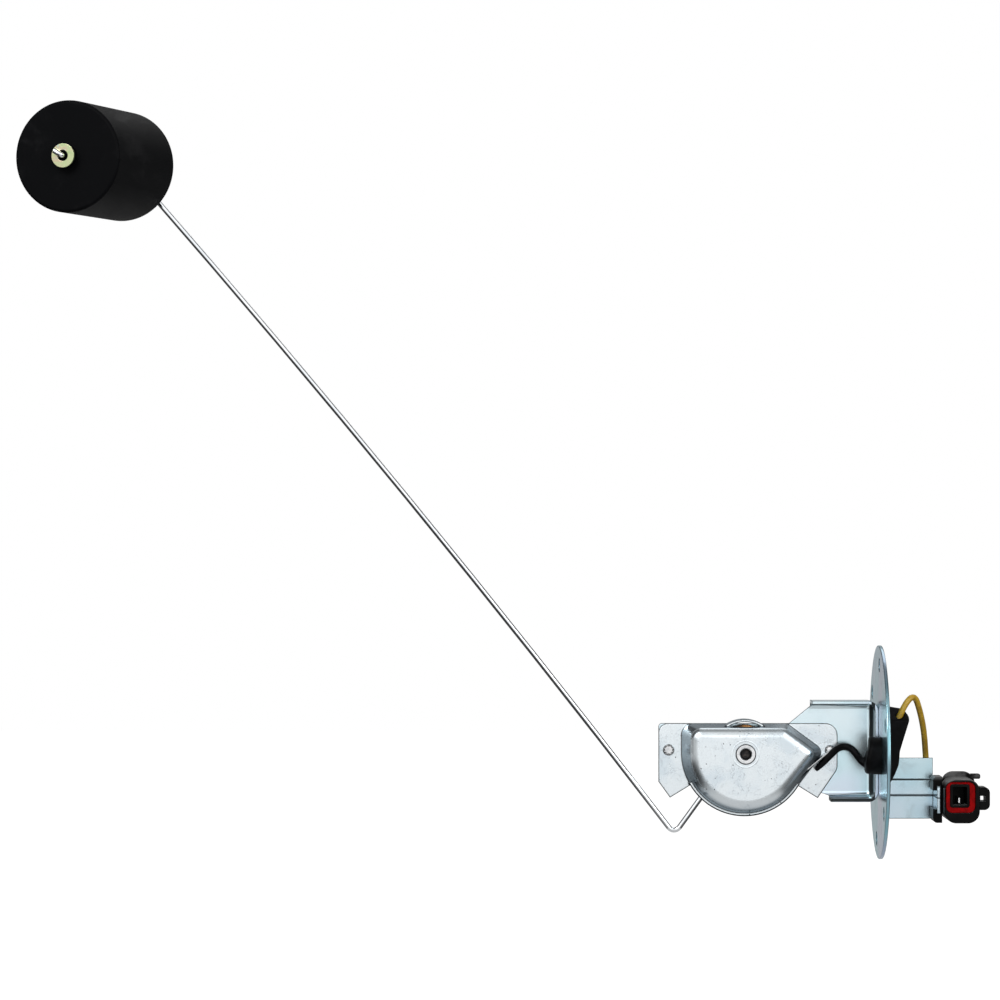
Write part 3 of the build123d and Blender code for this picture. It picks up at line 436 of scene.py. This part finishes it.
def turnedSteel(graph):
    cloud = graph.noise(*steelLook["cloud"])
    base = graph.blend(cloud.between(*steelLook["mix"]), steelLook["pale"], steelLook["grey"])
    # a dark painted outline on every edge, as shade
    edges = graph.roundEdges(steelLook["edgeRound"])
    cutAndShade = graph.edgeMask(edges)
    base = graph.blend(cutAndShade, base, zincLook["shearedAndShade"])
    return {
        "Base Color": base,
        "Metallic": 1.0 - cutAndShade * steelLook["shearedAndShadeDull"],
        "Roughness": cloud.spread(*steelLook["rough"]),
        "Normal": graph.bump(graph.noise(*steelLook["grain"]), *steelLook["relief"], edges),
    }


collarLook = {
    "rim": (3.50 * mm, 3.74 * mm),
    "bore": (2.16 * mm, 2.40 * mm),
    "dirtAndShade": (0.014, 0.016, 0.020),
    "dirtAndShadeShare": 0.97,
    "shadeDull": 0.7,
}


def collarSteel(graph):  # bush with painted shade round its rim and its bore
    surface = turnedSteel(graph)
    away = graph.fromShaft()
    # painted shade round the rim and the bore
    dirtAndShade = away.between(*collarLook["rim"]).maths("MAXIMUM", 1.0 - away.between(*collarLook["bore"]))
    unshadedBase = surface["Base Color"]
    surface["Base Color"] = graph.blend(dirtAndShade * collarLook["dirtAndShadeShare"], unshadedBase, collarLook["dirtAndShade"])
    surface["Metallic"] = 1.0 - dirtAndShade * collarLook["shadeDull"]
    return surface


shaftLook = {
    "tarnish": (700.0, 3.0, 0.6),
    "mix": (0.4, 0.65),
    "pale": (0.74, 0.75, 0.76),
    "grey": (0.52, 0.53, 0.55),
    "front": (-3.9 * mm, -3.2 * mm),  # the front end sits deep in its collar, with painted shade on it
    "recessShadeMix": (0.45, 0.6),
    "recessShade": (0.008, 0.008, 0.010),
    "recessShadePale": (0.06, 0.05, 0.045),
    "recessShadeDull": 0.6,
    "recessShadeRough": (0.26, 0.25),
    "relief": (0.01 * mm, 0.6),
}


def shaftSteel(graph):
    tarnish = graph.noise(*shaftLook["tarnish"])
    # painted shade on the front end of the shaft
    front = 1.0 - graph.along("Y").between(*shaftLook["front"])
    recessShade = graph.blend(tarnish.between(*shaftLook["recessShadeMix"]), shaftLook["recessShade"], shaftLook["recessShadePale"])
    base = graph.blend(tarnish.between(*shaftLook["mix"]), shaftLook["pale"], shaftLook["grey"])
    base = graph.blend(front, base, recessShade)
    return {
        "Base Color": base,
        "Metallic": 1.0 - front * shaftLook["recessShadeDull"],
        "Roughness": front.spread(*shaftLook["recessShadeRough"]),
        "Normal": graph.bump(graph.noise(*steelLook["grain"]) + tarnish, *shaftLook["relief"]),
    }


yellowLook = {
    "swirl": (210.0, 2.0, 0.5),
    "swirlTwist": 1.2,
    "stops": [
        (0.30, (0.60, 0.76, 0.38)),
        (0.48, (0.72, 0.80, 0.46)),
        (0.60, (0.76, 0.64, 0.44)),
        (0.72, (0.58, 0.76, 0.62)),
    ],
    "grain": (1700.0, 3.0),
    "relief": (0.004 * mm, 0.5),
    "edgeRound": 0.2 * mm,
    "metallic": 0.9,
    "rough": (0.24, 0.15),
}


def yellowZinc(graph):
    swirl = graph.noise(*yellowLook["swirl"], distortion=yellowLook["swirlTwist"])
    base = graph.add("ShaderNodeValToRGB", {"stops": yellowLook["stops"]}, {0: swirl})
    edges = graph.roundEdges(yellowLook["edgeRound"])
    return {
        "Base Color": base,
        "Metallic": yellowLook["metallic"],
        "Roughness": swirl.spread(*yellowLook["rough"]),
        "Normal": graph.bump(graph.noise(*yellowLook["grain"]), *yellowLook["relief"], edges),
    }


floatLook = {
    "black": (0.0022, 0.0024, 0.0030),
    "wornAndLit": (0.012, 0.012, 0.013),
    "bloom": (42.0, 4.0, 0.6),
    "bloomStretch": (1.0, 0.35, 1.0),
    "bloomTwist": 0.5,
    "bloomMix": (0.45, 0.7),
    "streak": (130.0, 4.0, 0.65),
    "streakStretch": (1.0, 0.12, 1.0),
    "streakTurn": (0.0, 0.0, 0.3),
    "streakTwist": 0.4,
    "streakMix": (0.4, 0.65),
    "grain": (2400.0, 2.0, 0.5),
    "speckScale": 190.0,
    "speckSize": (0.05, 0.10),
    "wornShade": 0.8,
    "speckShade": 0.1,
    "relief": (0.010 * mm, 0.5),
    "streakRelief": 3.0,
    "edgeRound": 0.5 * mm,
    "rough": (0.52, 0.12),
    "wornRough": 0.08,
    "mirrors": 0.05,
}


def floatRubber(graph):
    bloom = graph.place(floatLook["bloomStretch"])
    bloom = graph.noise(*floatLook["bloom"], bloom, floatLook["bloomTwist"])
    streak = graph.place(floatLook["streakStretch"], floatLook["streakTurn"])
    streak = graph.noise(*floatLook["streak"], streak, floatLook["streakTwist"])
    specks = graph.specks(floatLook["speckScale"], floatLook["speckSize"])
    wornAndLit = bloom.between(*floatLook["bloomMix"]) * streak.between(*floatLook["streakMix"])
    marks = wornAndLit * floatLook["wornShade"] + specks * floatLook["speckShade"]
    height = graph.noise(*floatLook["grain"]) + streak * floatLook["streakRelief"]
    edges = graph.roundEdges(floatLook["edgeRound"])
    return {
        "Base Color": graph.blend(marks, floatLook["black"], floatLook["wornAndLit"]),
        "Roughness": streak.spread(*floatLook["rough"]) - wornAndLit * floatLook["wornRough"],
        "Normal": graph.bump(height, *floatLook["relief"], edges),
        "Specular IOR Level": floatLook["mirrors"],
    }


plasticLook = {
    "deep": (0.0016, 0.0016, 0.0018),
    "black": (0.005, 0.005, 0.005),
    "flow": (120.0, 3.0, 0.5),
    "flowMix": (0.4, 0.7),
    "grain": (1900.0, 2.0, 0.5),
    "dustAndSheenGrey": (0.15, 0.15, 0.15),
    "dustAndSheen": (420.0, 3.0, 0.6),  # dust, and a painted sheen, on what faces up
    "dustAndSheenMix": (0.20, 0.6),
    "dustAndSheenTurn": (0.30, 0.85),
    "scuffsAndSheen": (160.0, 3.0, 0.6),  # a painted highlight near the shell's top
    "scuffAndSheenMix": (0.30, 0.60),
    "sheenHeight": (-10.4 * mm, -8.4 * mm),
    "scuffAndSheenShare": 0.8,
    "relief": (0.010 * mm, 0.45),
    "edgeRound": 0.3 * mm,
    "rough": (0.26, 0.15),
    "mirrors": 0.07,
}


def blackPlastic(graph):
    flow = graph.noise(*plasticLook["flow"])
    # dust and a painted sheen on faces that point up
    dustAndSheen = graph.towards(0.0, 0.0, 1.0).between(*plasticLook["dustAndSheenTurn"])
    dustAndSheen = dustAndSheen * graph.noise(*plasticLook["dustAndSheen"]).between(*plasticLook["dustAndSheenMix"])
    # a painted highlight band near the shell's top
    scuffsAndSheen = graph.along("Z").between(*plasticLook["sheenHeight"]) * plasticLook["scuffAndSheenShare"]
    scuffsAndSheen = scuffsAndSheen * graph.noise(*plasticLook["scuffsAndSheen"]).between(*plasticLook["scuffAndSheenMix"])
    base = graph.blend(flow.between(*plasticLook["flowMix"]), plasticLook["deep"], plasticLook["black"])
    base = graph.blend(dustAndSheen.maths("MAXIMUM", scuffsAndSheen), base, plasticLook["dustAndSheenGrey"])
    edges = graph.roundEdges(plasticLook["edgeRound"])
    return {
        "Base Color": base,
        "Roughness": flow.spread(*plasticLook["rough"]),
        "Normal": graph.bump(graph.noise(*plasticLook["grain"]), *plasticLook["relief"], edges),
        "Specular IOR Level": plasticLook["mirrors"],
    }


# finishes of two colours in soft clouds
rubberLook = {
    "cloud": (320.0, 4.0, 0.6),
    "mix": (0.4, 0.7),
    "colours": ((0.0016, 0.0016, 0.0018), (0.005, 0.005, 0.006)),
    "grain": (2600.0, 2.0),
    "grainRelief": 0.3,
    "relief": (0.03 * mm, 0.5),
    "edgeRound": 0.35 * mm,
    "rough": (0.40, 0.2),
    "sockets": {"Specular IOR Level": 0.08},
}
sealLook = {
    "cloud": (260.0, 3.0, 0.6),
    "mix": (0.35, 0.7),
    "colours": ((0.30, 0.0010, 0.0018), (0.14, 0.0008, 0.0012)),
    "relief": (0.03 * mm, 0.5),
    "edgeRound": 0.3 * mm,
    "rough": (0.40, 0.0),
    "sockets": {"Specular IOR Level": 0.06},
}
leadLook = {
    "cloud": (170.0, 4.0, 0.6),
    "twist": 0.5,
    "mix": (0.35, 0.7),
    "colours": ((0.56, 0.35, 0.018), (0.38, 0.22, 0.012)),
    "dirtAndShade": (700.0, 4.0, 0.65),
    "dirtMix": (0.55, 0.75),
    "dirtAndShadeShare": 0.35,
    "dirtColour": (0.16, 0.09, 0.015),
    "relief": (0.02 * mm, 0.4),
    "rough": (0.40, 0.0),
    "sockets": {"Coat Weight": 0.1},
}
sleeveLook = {
    "cloud": (420.0, 3.0, 0.6),
    "mix": (0.4, 0.7),
    "colours": ((0.0018, 0.0018, 0.0022), (0.006, 0.006, 0.007)),
    "relief": (0.05 * mm, 0.5),
    "rough": (0.28, 0.2),
    "sockets": {"Specular IOR Level": 0.10},
}
naturalLook = {
    "cloud": (200.0, 3.0, 0.5),
    "mix": (0.35, 0.7),
    "colours": ((0.74, 0.72, 0.64), (0.64, 0.61, 0.52)),
    "relief": (0.02 * mm, 0.4),
    "rough": (0.45, 0.0),
}
boardLook = {
    "cloud": (900.0, 4.0, 0.6),
    "mix": (0.35, 0.7),
    "colours": ((0.30, 0.15, 0.06), (0.18, 0.08, 0.03)),
    "relief": (0.02 * mm, 0.5),
    "rough": (0.55, 0.0),
}
bronzeLook = {
    "cloud": (380.0, 3.0, 0.6),
    "mix": (0.4, 0.7),
    "colours": ((0.80, 0.58, 0.30), (0.55, 0.36, 0.18)),
    "relief": (0.01 * mm, 0.4),
    "rough": (0.25, 0.2),
    "sockets": {"Metallic": 1.0},
}


def clouded(graph, look):
    cloud = graph.noise(*look["cloud"], distortion=look.get("twist", 0.0))
    base = graph.blend(cloud.between(*look["mix"]), *look["colours"])
    height = cloud
    if "grain" in look:
        height = cloud + graph.noise(*look["grain"]) * look["grainRelief"]
    edges = graph.roundEdges(look["edgeRound"]) if "edgeRound" in look else None
    least, added = look["rough"]
    rough = cloud.spread(least, added) if added else least
    normal = graph.bump(height, *look["relief"], edges)
    return {"Base Color": base, "Roughness": rough, "Normal": normal, **look.get("sockets", {})}


def blackRubber(graph):
    return clouded(graph, rubberLook)


def sealRed(graph):
    return clouded(graph, sealLook)


def leadYellow(graph):
    surface = clouded(graph, leadLook)
    dirtAndShade = graph.noise(*leadLook["dirtAndShade"]).between(*leadLook["dirtMix"]) * leadLook["dirtAndShadeShare"]
    surface["Base Color"] = graph.blend(dirtAndShade, surface["Base Color"], leadLook["dirtColour"])
    return surface


def sleeveBlack(graph):
    return clouded(graph, sleeveLook)


def naturalPlastic(graph):
    return clouded(graph, naturalLook)


def cardBoard(graph):
    return clouded(graph, boardLook)


def springBronze(graph):
    return clouded(graph, bronzeLook)


windingLook = {
    "tarnish": (500.0, 3.0, 0.6),
    "mix": (0.4, 0.7),
    "pale": (0.80, 0.42, 0.16),
    "dark": (0.48, 0.22, 0.07),
    "middle": -50.9 * mm,  # copper bright near this X, where the arch opening is
    "wornAndLit": (1.6 * mm, 3.0 * mm),
    "shadeBeside": (0.05, 0.022, 0.012),  # painted shade beside it
    "shadeBesideShare": 0.9,
    "metallic": 0.85,
    "rough": (0.28, 0.2),
}


def windingWire(graph):
    tarnish = graph.noise(*windingLook["tarnish"])
    base = graph.blend(tarnish.between(*windingLook["mix"]), windingLook["pale"], windingLook["dark"])
    # painted shade on the turns away from the middle
    shadeBeside = 1.0 - graph.along("X").near(windingLook["middle"], *windingLook["wornAndLit"])
    base = graph.blend(shadeBeside * windingLook["shadeBesideShare"], base, windingLook["shadeBeside"])
    rough = tarnish.spread(*windingLook["rough"])
    return {"Base Color": base, "Metallic": windingLook["metallic"], "Roughness": rough}


finishes = {
    bracketZinc: ["support_bracket"],
    flangeZinc: ["mounting_flange"],
    tabZinc: ["connector_bracket"],
    housingZinc: ["sensor_housing"],
    brightWire: ["float_arm"],
    collarSteel: ["pivot_bush_front"],
    turnedSteel: ["pivot_bush_rear", "spring_washer", "spacer_washer", "card_rivets",
                  "housing_rivet_left", "housing_rivet_right", "terminal_tab", "connector_terminal"],
    shaftSteel: ["pivot_shaft"],
    yellowZinc: ["float_washer_front", "float_washer_rear"],
    floatRubber: ["float"],
    blackRubber: ["feedthrough_grommet"],
    blackPlastic: ["connector_body", "connector_clip"],
    sealRed: ["connector_seal", "wire_seal"],
    leadYellow: ["signal_lead"],
    sleeveBlack: ["lead_sleeve"],
    naturalPlastic: ["arm_carrier"],
    cardBoard: ["resistor_card", "card_holder"],
    windingWire: ["resistor_winding"],
    springBronze: ["wiper", "wiper_contact", "wiper_rivet", "inner_lead"],
}


def dressNodes():
    made = {}
    for build, names in finishes.items():
        material = makeMaterial(build.__name__, build)
        made[build.__name__] = material
        for name in names:
            for holder in nodes[name].material_slots:
                holder.material = material
    return made


materials = dressNodes()
print("materials made:", len(materials))


def addPiece(name, mesh, body, replaced, material):
    piece = bpy.data.objects.new(name, mesh)
    bpy.context.scene.collection.objects.link(piece)
    mesh.materials.clear()
    mesh.materials.append(materials[material])
    for face in mesh.polygons:
        face.use_smooth = True
    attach(piece, body)
    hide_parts(*replaced)
    return piece


def meshOf(holder):  # the evaluated shape of an object as a plain mesh
    bpy.context.view_layer.update()
    mesh = bpy.data.meshes.new_from_object(holder.evaluated_get(bpy.context.evaluated_depsgraph_get()))
    bpy.data.objects.remove(holder)
    return mesh


tube = {"bevel": 6, "steps": 16, "order": 3}


def tubeAlong(name, route, radii):  # smooth tube through given points, in millimetres
    curve = bpy.data.curves.new(name + "Line", "CURVE")
    curve.dimensions = "3D"
    curve.bevel_depth = mm
    curve.bevel_resolution = tube["bevel"]
    curve.resolution_u = tube["steps"]
    curve.use_fill_caps = True
    spline = curve.splines.new("NURBS")
    spline.points.add(len(route) - 1)
    for point, place, radius in zip(spline.points, route, radii):
        point.co = (*(value * mm for value in place), 1.0)
        point.radius = radius
    spline.order_u = tube["order"]
    spline.use_endpoint_u = True
    holder = bpy.data.objects.new(name + "Line", curve)
    bpy.context.scene.collection.objects.link(holder)
    return meshOf(holder)


signalLead = {
    "route": [(4.9, -17.0, 9.8), (11.6, -16.4, 27.4), (17.1, -7.6, 12.6), (19.4, 4.4, -4.0),
              (20.4, 12.0, -13.0), (20.6, 20.6, -17.0), (29.7, 21.2, -17.6), (29.7, 8.0, -17.6),
              (29.7, -1.0, -17.6)],
    "radius": 1.2,
}
leadSleeve = {
    "route": [(-24.2, 5.0, -7.2), (-22.6, 4.8, -5.8), (-18.9, 4.0, -1.9), (-15.0, 2.8, 2.2),
              (-10.4, -0.6, 1.9), (-7.2, -5.0, -3.0), (-5.6, -9.2, -4.6), (-3.6, -11.6, -4.4)],
    "radii": [0.92, 1.24, 1.40, 1.48, 1.44, 1.42, 1.42, 1.38],
    "wire": 0.8,
}


def makeLeads():
    points = signalLead["route"]
    mesh = tubeAlong("signalLead", points, [signalLead["radius"]] * len(points))
    addPiece("signal_lead_run", mesh, "sender", ["signal_lead"], "leadYellow")
    points = leadSleeve["route"]
    mesh = tubeAlong("leadSleeve", points, leadSleeve["radii"])
    addPiece("sleeve_run", mesh, "sender", ["lead_sleeve"], "sleeveBlack")
    mesh = tubeAlong("innerWire", points, [leadSleeve["wire"]] * len(points))
    addPiece("inner_wire_run", mesh, "sender", ["inner_lead"], "springBronze")


makeLeads()
print("leads laid")


winding = {
    "Turns": 62,
    "Wire": 0.30 * mm,
    "Radius": 10.4 * mm,  # from the arm's axis to the middle of the card
    "Deep": 1.30 * mm,  # size of one turn, through the card and along it
    "Wide": 6.10 * mm,
    "Corner": 0.35 * mm,
    "From": math.radians(31.0),
    "To": math.radians(147.0),
    "Waver": math.radians(0.12),
    "Middle": (pivot.x, 4.5 * mm, pivot.z),
}
windingMesh = {"cornerSteps": 3, "wireSides": 6, "seed": 5}
socketKinds = {int: "NodeSocketInt", float: "NodeSocketFloat", tuple: "NodeSocketVector"}


def windingTree():
    tree = bpy.data.node_groups.new("windingTurns", "GeometryNodeTree")
    for name, value in winding.items():
        tree.interface.new_socket(name, in_out="INPUT", socket_type=socketKinds[type(value)])
    tree.interface.new_socket("Geometry", in_out="OUTPUT", socket_type="NodeSocketGeometry")
    graph = Graph(tree)
    asked = {name: graph.add("NodeGroupInput", output=name) for name in winding}
    sides = {"Width": asked["Deep"], "Height": asked["Wide"]}
    loop = graph.add("GeometryNodeCurvePrimitiveQuadrilateral", {"mode": "RECTANGLE"}, sides)
    bends = {"Curve": loop, "Count": windingMesh["cornerSteps"], "Radius": asked["Corner"]}
    loop = graph.add("GeometryNodeFilletCurve", {"mode": "POLY"}, bends)
    section = {"Resolution": windingMesh["wireSides"], "Radius": asked["Wire"] * 0.5}
    section = graph.add("GeometryNodeCurvePrimitiveCircle", None, section)
    turn = graph.add("GeometryNodeCurveToMesh", None, {"Curve": loop, "Profile Curve": section})
    index = graph.add("GeometryNodeInputIndex")
    share = (index + 0.5).maths("DIVIDE", asked["Turns"])
    angle = (asked["To"] - asked["From"]) * share + asked["From"]
    loose = {2: -1.0, 3: 1.0, "Seed": windingMesh["seed"]}
    loose = graph.add("FunctionNodeRandomValue", {"data_type": "FLOAT"}, loose, output=1)
    angle = angle + loose * asked["Waver"]
    spot = graph.add("ShaderNodeCombineXYZ", None, {"X": angle.maths("COSINE"), "Z": angle.maths("SINE")})
    sized = {"Vector": spot, "Scale": asked["Radius"]}
    spot = graph.add("ShaderNodeVectorMath", {"operation": "SCALE"}, sized)
    spot = graph.vector("ADD", spot, asked["Middle"])
    points = graph.add("GeometryNodePoints", None, {"Count": asked["Turns"], "Position": spot})
    swing = graph.add("ShaderNodeCombineXYZ", None, {"Y": -angle})
    laid = {"Points": points, "Instance": turn, "Rotation": swing}
    turns = graph.add("GeometryNodeInstanceOnPoints", None, laid)
    whole = graph.add("GeometryNodeRealizeInstances", None, {"Geometry": turns})
    dressed = {"Geometry": whole, "Material": materials["windingWire"]}
    whole = graph.add("GeometryNodeSetMaterial", None, dressed)
    output = tree.nodes.new("NodeGroupOutput")
    tree.links.new(whole.socket, output.inputs["Geometry"])
    return tree


def makeWinding():
    holder = bpy.data.objects.new("windingHolder", bpy.data.meshes.new("windingHolder"))
    bpy.context.scene.collection.objects.link(holder)
    modifier = holder.modifiers.new("turns", "NODES")
    modifier.node_group = windingTree()
    for socket in modifier.node_group.interface.items_tree:
        if socket.in_out == "INPUT":
            modifier[socket.identifier] = winding[socket.name]
    mesh = meshOf(holder)
    addPiece("winding_turns", mesh, "sender", ["resistor_winding"], "windingWire")


makeWinding()
print("winding made")


grommet = {
    "weld": 0.002 * mm,
    "voxel": 0.34 * mm,
    "smoothing": 6,
    "plate": 0.2 * mm,  # the rubber stays as it is where the flange grips it
    "lump": 0.70 * mm,  # how deep the hand-pressed hollows are
    "lumpScale": 190.0,
    "bootLump": 0.12 * mm,
    "lean": 1.3 * mm,  # the upper end is pressed in further
    "leanFrom": -3.0 * mm,
    "leanHeight": 6.0 * mm,
    "headDepth": 6.5 * mm,
    "collar": 1.3 * mm,  # the rubber rises round the sleeve where it goes in
    "collarRadius": 2.9 * mm,
    "collarSpot": (-6.5 * mm, -6.6 * mm, -3.6 * mm),
    "collarWay": (-1.0, 0.35, 0.1),
}


def grommetShift(vertex):  # how far a point of the moulded rubber is pushed
    place = vertex.co
    inside = place.x < -grommet["plate"]
    depth = grommet["lump"] if inside else grommet["bootLump"]
    wave = noise.noise(place * grommet["lumpScale"]) * 0.5 + 0.5
    shift = vertex.normal * (-depth * wave)
    if inside:
        high = min(max((place.z - grommet["leanFrom"]) / grommet["leanHeight"], 0.0), 1.0)
        shift.x += grommet["lean"] * high * min(-place.x / grommet["headDepth"], 1.0)
    near = 1.0 - (place - Vector(grommet["collarSpot"])).length / grommet["collarRadius"]
    if inside and near > 0.0:
        shift += Vector(grommet["collarWay"]) * grommet["collar"] * near * near * (3.0 - 2.0 * near)
    return shift


def makeGrommet():
    mesh = nodes["feedthrough_grommet"].data.copy()
    model = bmesh.new()
    model.from_mesh(mesh)
    bmesh.ops.remove_doubles(model, verts=model.verts, dist=grommet["weld"])
    model.to_mesh(mesh)
    model.free()
    holder = bpy.data.objects.new("grommetHolder", mesh)
    bpy.context.scene.collection.objects.link(holder)
    remesh = holder.modifiers.new("remesh", "REMESH")
    remesh.mode = "VOXEL"
    remesh.voxel_size = grommet["voxel"]
    smooth = holder.modifiers.new("smooth", "SMOOTH")
    smooth.iterations = grommet["smoothing"]
    mesh = meshOf(holder)
    shifts = [grommetShift(vertex) for vertex in mesh.vertices]
    for vertex, shift in zip(mesh.vertices, shifts):
        if abs(vertex.co.x) > grommet["plate"]:
            vertex.co += shift
    addPiece("grommet_moulding", mesh, "sender", ["feedthrough_grommet"], "blackRubber")


makeGrommet()
print("grommet pressed in")


studio = {
    "lens": 158.4,
    "sensor": 36.0,
    "clip": 0.05,
    "cameraPlace": (-0.1488, -1.7323, 0.09925),
    "floorHeight": -0.360,
    "floorSize": 7.0,
    "floorGlow": 0.82,
    "floorColour": (0.40, 0.40, 0.40),
    "floorMirrored": (0.05, 0.05, 0.05),  # what shiny parts see of the floor close by
    "away": (1.5, 3.0),  # and further off
    "awayTone": 0.62,
    "sheetMiddle": -0.06,  # a pale sheet lies on the floor under the bracket
    "sheetWidth": (0.30, 0.42),
    "sheetTone": 0.62,
}
room = {  # what shiny parts see round them, by direction
    "sideTone": 0.02,
    "topTone": 0.10,
    "rise": (0.1, 0.9),
    "frontTone": 1.24,  # a large window behind the camera
    "window": (0.22, 0.42),
    "dim": 0.55,  # which is dimmer high up and at the left
    "dimHigh": (0.25, 0.55),
    "dimWidth": (0.15, 0.35),
    "dimLeft": (0.30, 0.60),
    "backTone": 0.55,
    "backdrop": (0.955, 0.995),
    "level": (0.15, 0.35),
    "leftTone": 0.17,  # grey cards at the left and above
    "leftCard": (0.10, 0.35),
    "upperTone": 0.33,
    "upperCard": (0.04, 0.16),
    "upperWidth": (0.10, 0.30),
    "rearTone": 0.34,  # what the back of the plates mirrors
    "rearFrom": (0.40, 0.52),
    "rearTo": (0.72, 0.82),
    "ambient": 0.62,
    "colour": (1.0, 1.0, 1.0, 1.0),
}


def makeCamera():
    data = bpy.data.cameras.new("camera")
    data.lens = studio["lens"]
    data.sensor_width = studio["sensor"]
    data.clip_start = studio["clip"]
    camera = bpy.data.objects.new("camera", data)
    camera.location = studio["cameraPlace"]
    camera.rotation_euler = (math.pi / 2, 0.0, 0.0)
    bpy.context.scene.collection.objects.link(camera)
    bpy.context.scene.camera = camera


def roomTone(graph):
    direction = graph.add("ShaderNodeTexCoord", output="Generated")
    across, depth, height = [
        graph.add("ShaderNodeSeparateXYZ", None, {0: direction}, output=axis) for axis in ("X", "Y", "Z")
    ]
    width = across.maths("ABSOLUTE")
    level = height.near(0.0, *room["level"])
    dimTop = height.between(*room["dimHigh"]) * (1.0 - width.between(*room["dimWidth"]))
    dimLeft = (-across).between(*room["dimLeft"]) * level
    window = (-depth).between(*room["window"]) * room["frontTone"]
    window = window * (1.0 - dimTop.maths("MAXIMUM", dimLeft) * room["dim"])
    backdrop = depth.between(*room["backdrop"]) * room["backTone"]
    sides = height.between(*room["rise"]) * (room["topTone"] - room["sideTone"]) + room["sideTone"]
    left = (-across).between(*room["leftCard"]) * level * room["leftTone"]
    upper = height.between(*room["upperCard"]) * (1.0 - width.between(*room["upperWidth"]))
    upper = upper * room["upperTone"]
    rear = depth.between(*room["rearFrom"]) * (1.0 - depth.between(*room["rearTo"])) * room["rearTone"]
    tone = sides
    for part in (window, backdrop, left, upper, rear):
        tone = tone.maths("MAXIMUM", part)
    return tone


def makeWorld():
    world = bpy.data.worlds.new("studio")
    bpy.context.scene.world = world
    world.use_nodes = True
    tree = world.node_tree
    tree.nodes.clear()
    graph = Graph(tree)
    straight, glossy = graph.rays()
    strength = graph.mix(straight, graph.mix(glossy, room["ambient"], roomTone(graph)), 1.0)
    background = graph.add("ShaderNodeBackground", None, {"Color": room["colour"], "Strength": strength})
    output = tree.nodes.new("ShaderNodeOutputWorld")
    tree.links.new(background.socket, output.inputs["Surface"])


def makeFloor():
    half = studio["floorSize"]
    height = studio["floorHeight"]
    mesh = bpy.data.meshes.new("floor")
    corners = [(-half, -half, height), (half, -half, height), (half, half, height), (-half, half, height)]
    mesh.from_pydata(corners, [], [(0, 1, 2, 3)])
    floor = bpy.data.objects.new("floor", mesh)
    bpy.context.scene.collection.objects.link(floor)
    material = bpy.data.materials.new("floorPaint")
    material.use_nodes = True
    tree = material.node_tree
    tree.nodes.clear()
    graph = Graph(tree)
    straight, glossy = graph.rays()
    paint = graph.blend(glossy, studio["floorColour"], studio["floorMirrored"])
    diffuse = graph.add("ShaderNodeBsdfDiffuse", None, {"Color": paint})
    away = graph.add("ShaderNodeVectorMath", {"operation": "LENGTH"}, {0: graph.spot()}, output=1)
    away = away.between(*studio["away"]) * studio["awayTone"]
    sheet = graph.along("X").near(studio["sheetMiddle"], *studio["sheetWidth"]) * studio["sheetTone"]
    seen = straight.maths("MAXIMUM", glossy * away.maths("MAXIMUM", sheet))
    glow = graph.add("ShaderNodeEmission", None, {"Strength": seen * studio["floorGlow"]})
    output = tree.nodes.new("ShaderNodeOutputMaterial")
    both = graph.add("ShaderNodeAddShader", None, {0: diffuse, 1: glow})
    tree.links.new(both.socket, output.inputs["Surface"])
    mesh.materials.append(material)


lamps = {
    "key": {"place": (-0.9, -1.5, 1.3), "size": 0.9, "power": 16.0},
    "fill": {"place": (1.1, -1.3, 0.5), "size": 0.8, "power": 7.0},
    "back": {"place": (0.3, 1.0, 1.2), "size": 1.0, "power": 3.0},
}
lampTarget = Vector((-0.13, 0.0, 0.08))


def makeLamps():
    for name, spec in lamps.items():
        data = bpy.data.lights.new(name, "AREA")
        data.shape = "SQUARE"
        data.size = spec["size"]
        data.energy = spec["power"]
        lamp = bpy.data.objects.new(name, data)
        lamp.location = spec["place"]
        aim = lampTarget - Vector(spec["place"])
        lamp.rotation_euler = aim.to_track_quat("-Z", "Y").to_euler()
        bpy.context.scene.collection.objects.link(lamp)


makeCamera()
makeWorld()
makeFloor()
makeLamps()
bpy.context.scene.view_settings.view_transform = "Standard"
print("studio set")
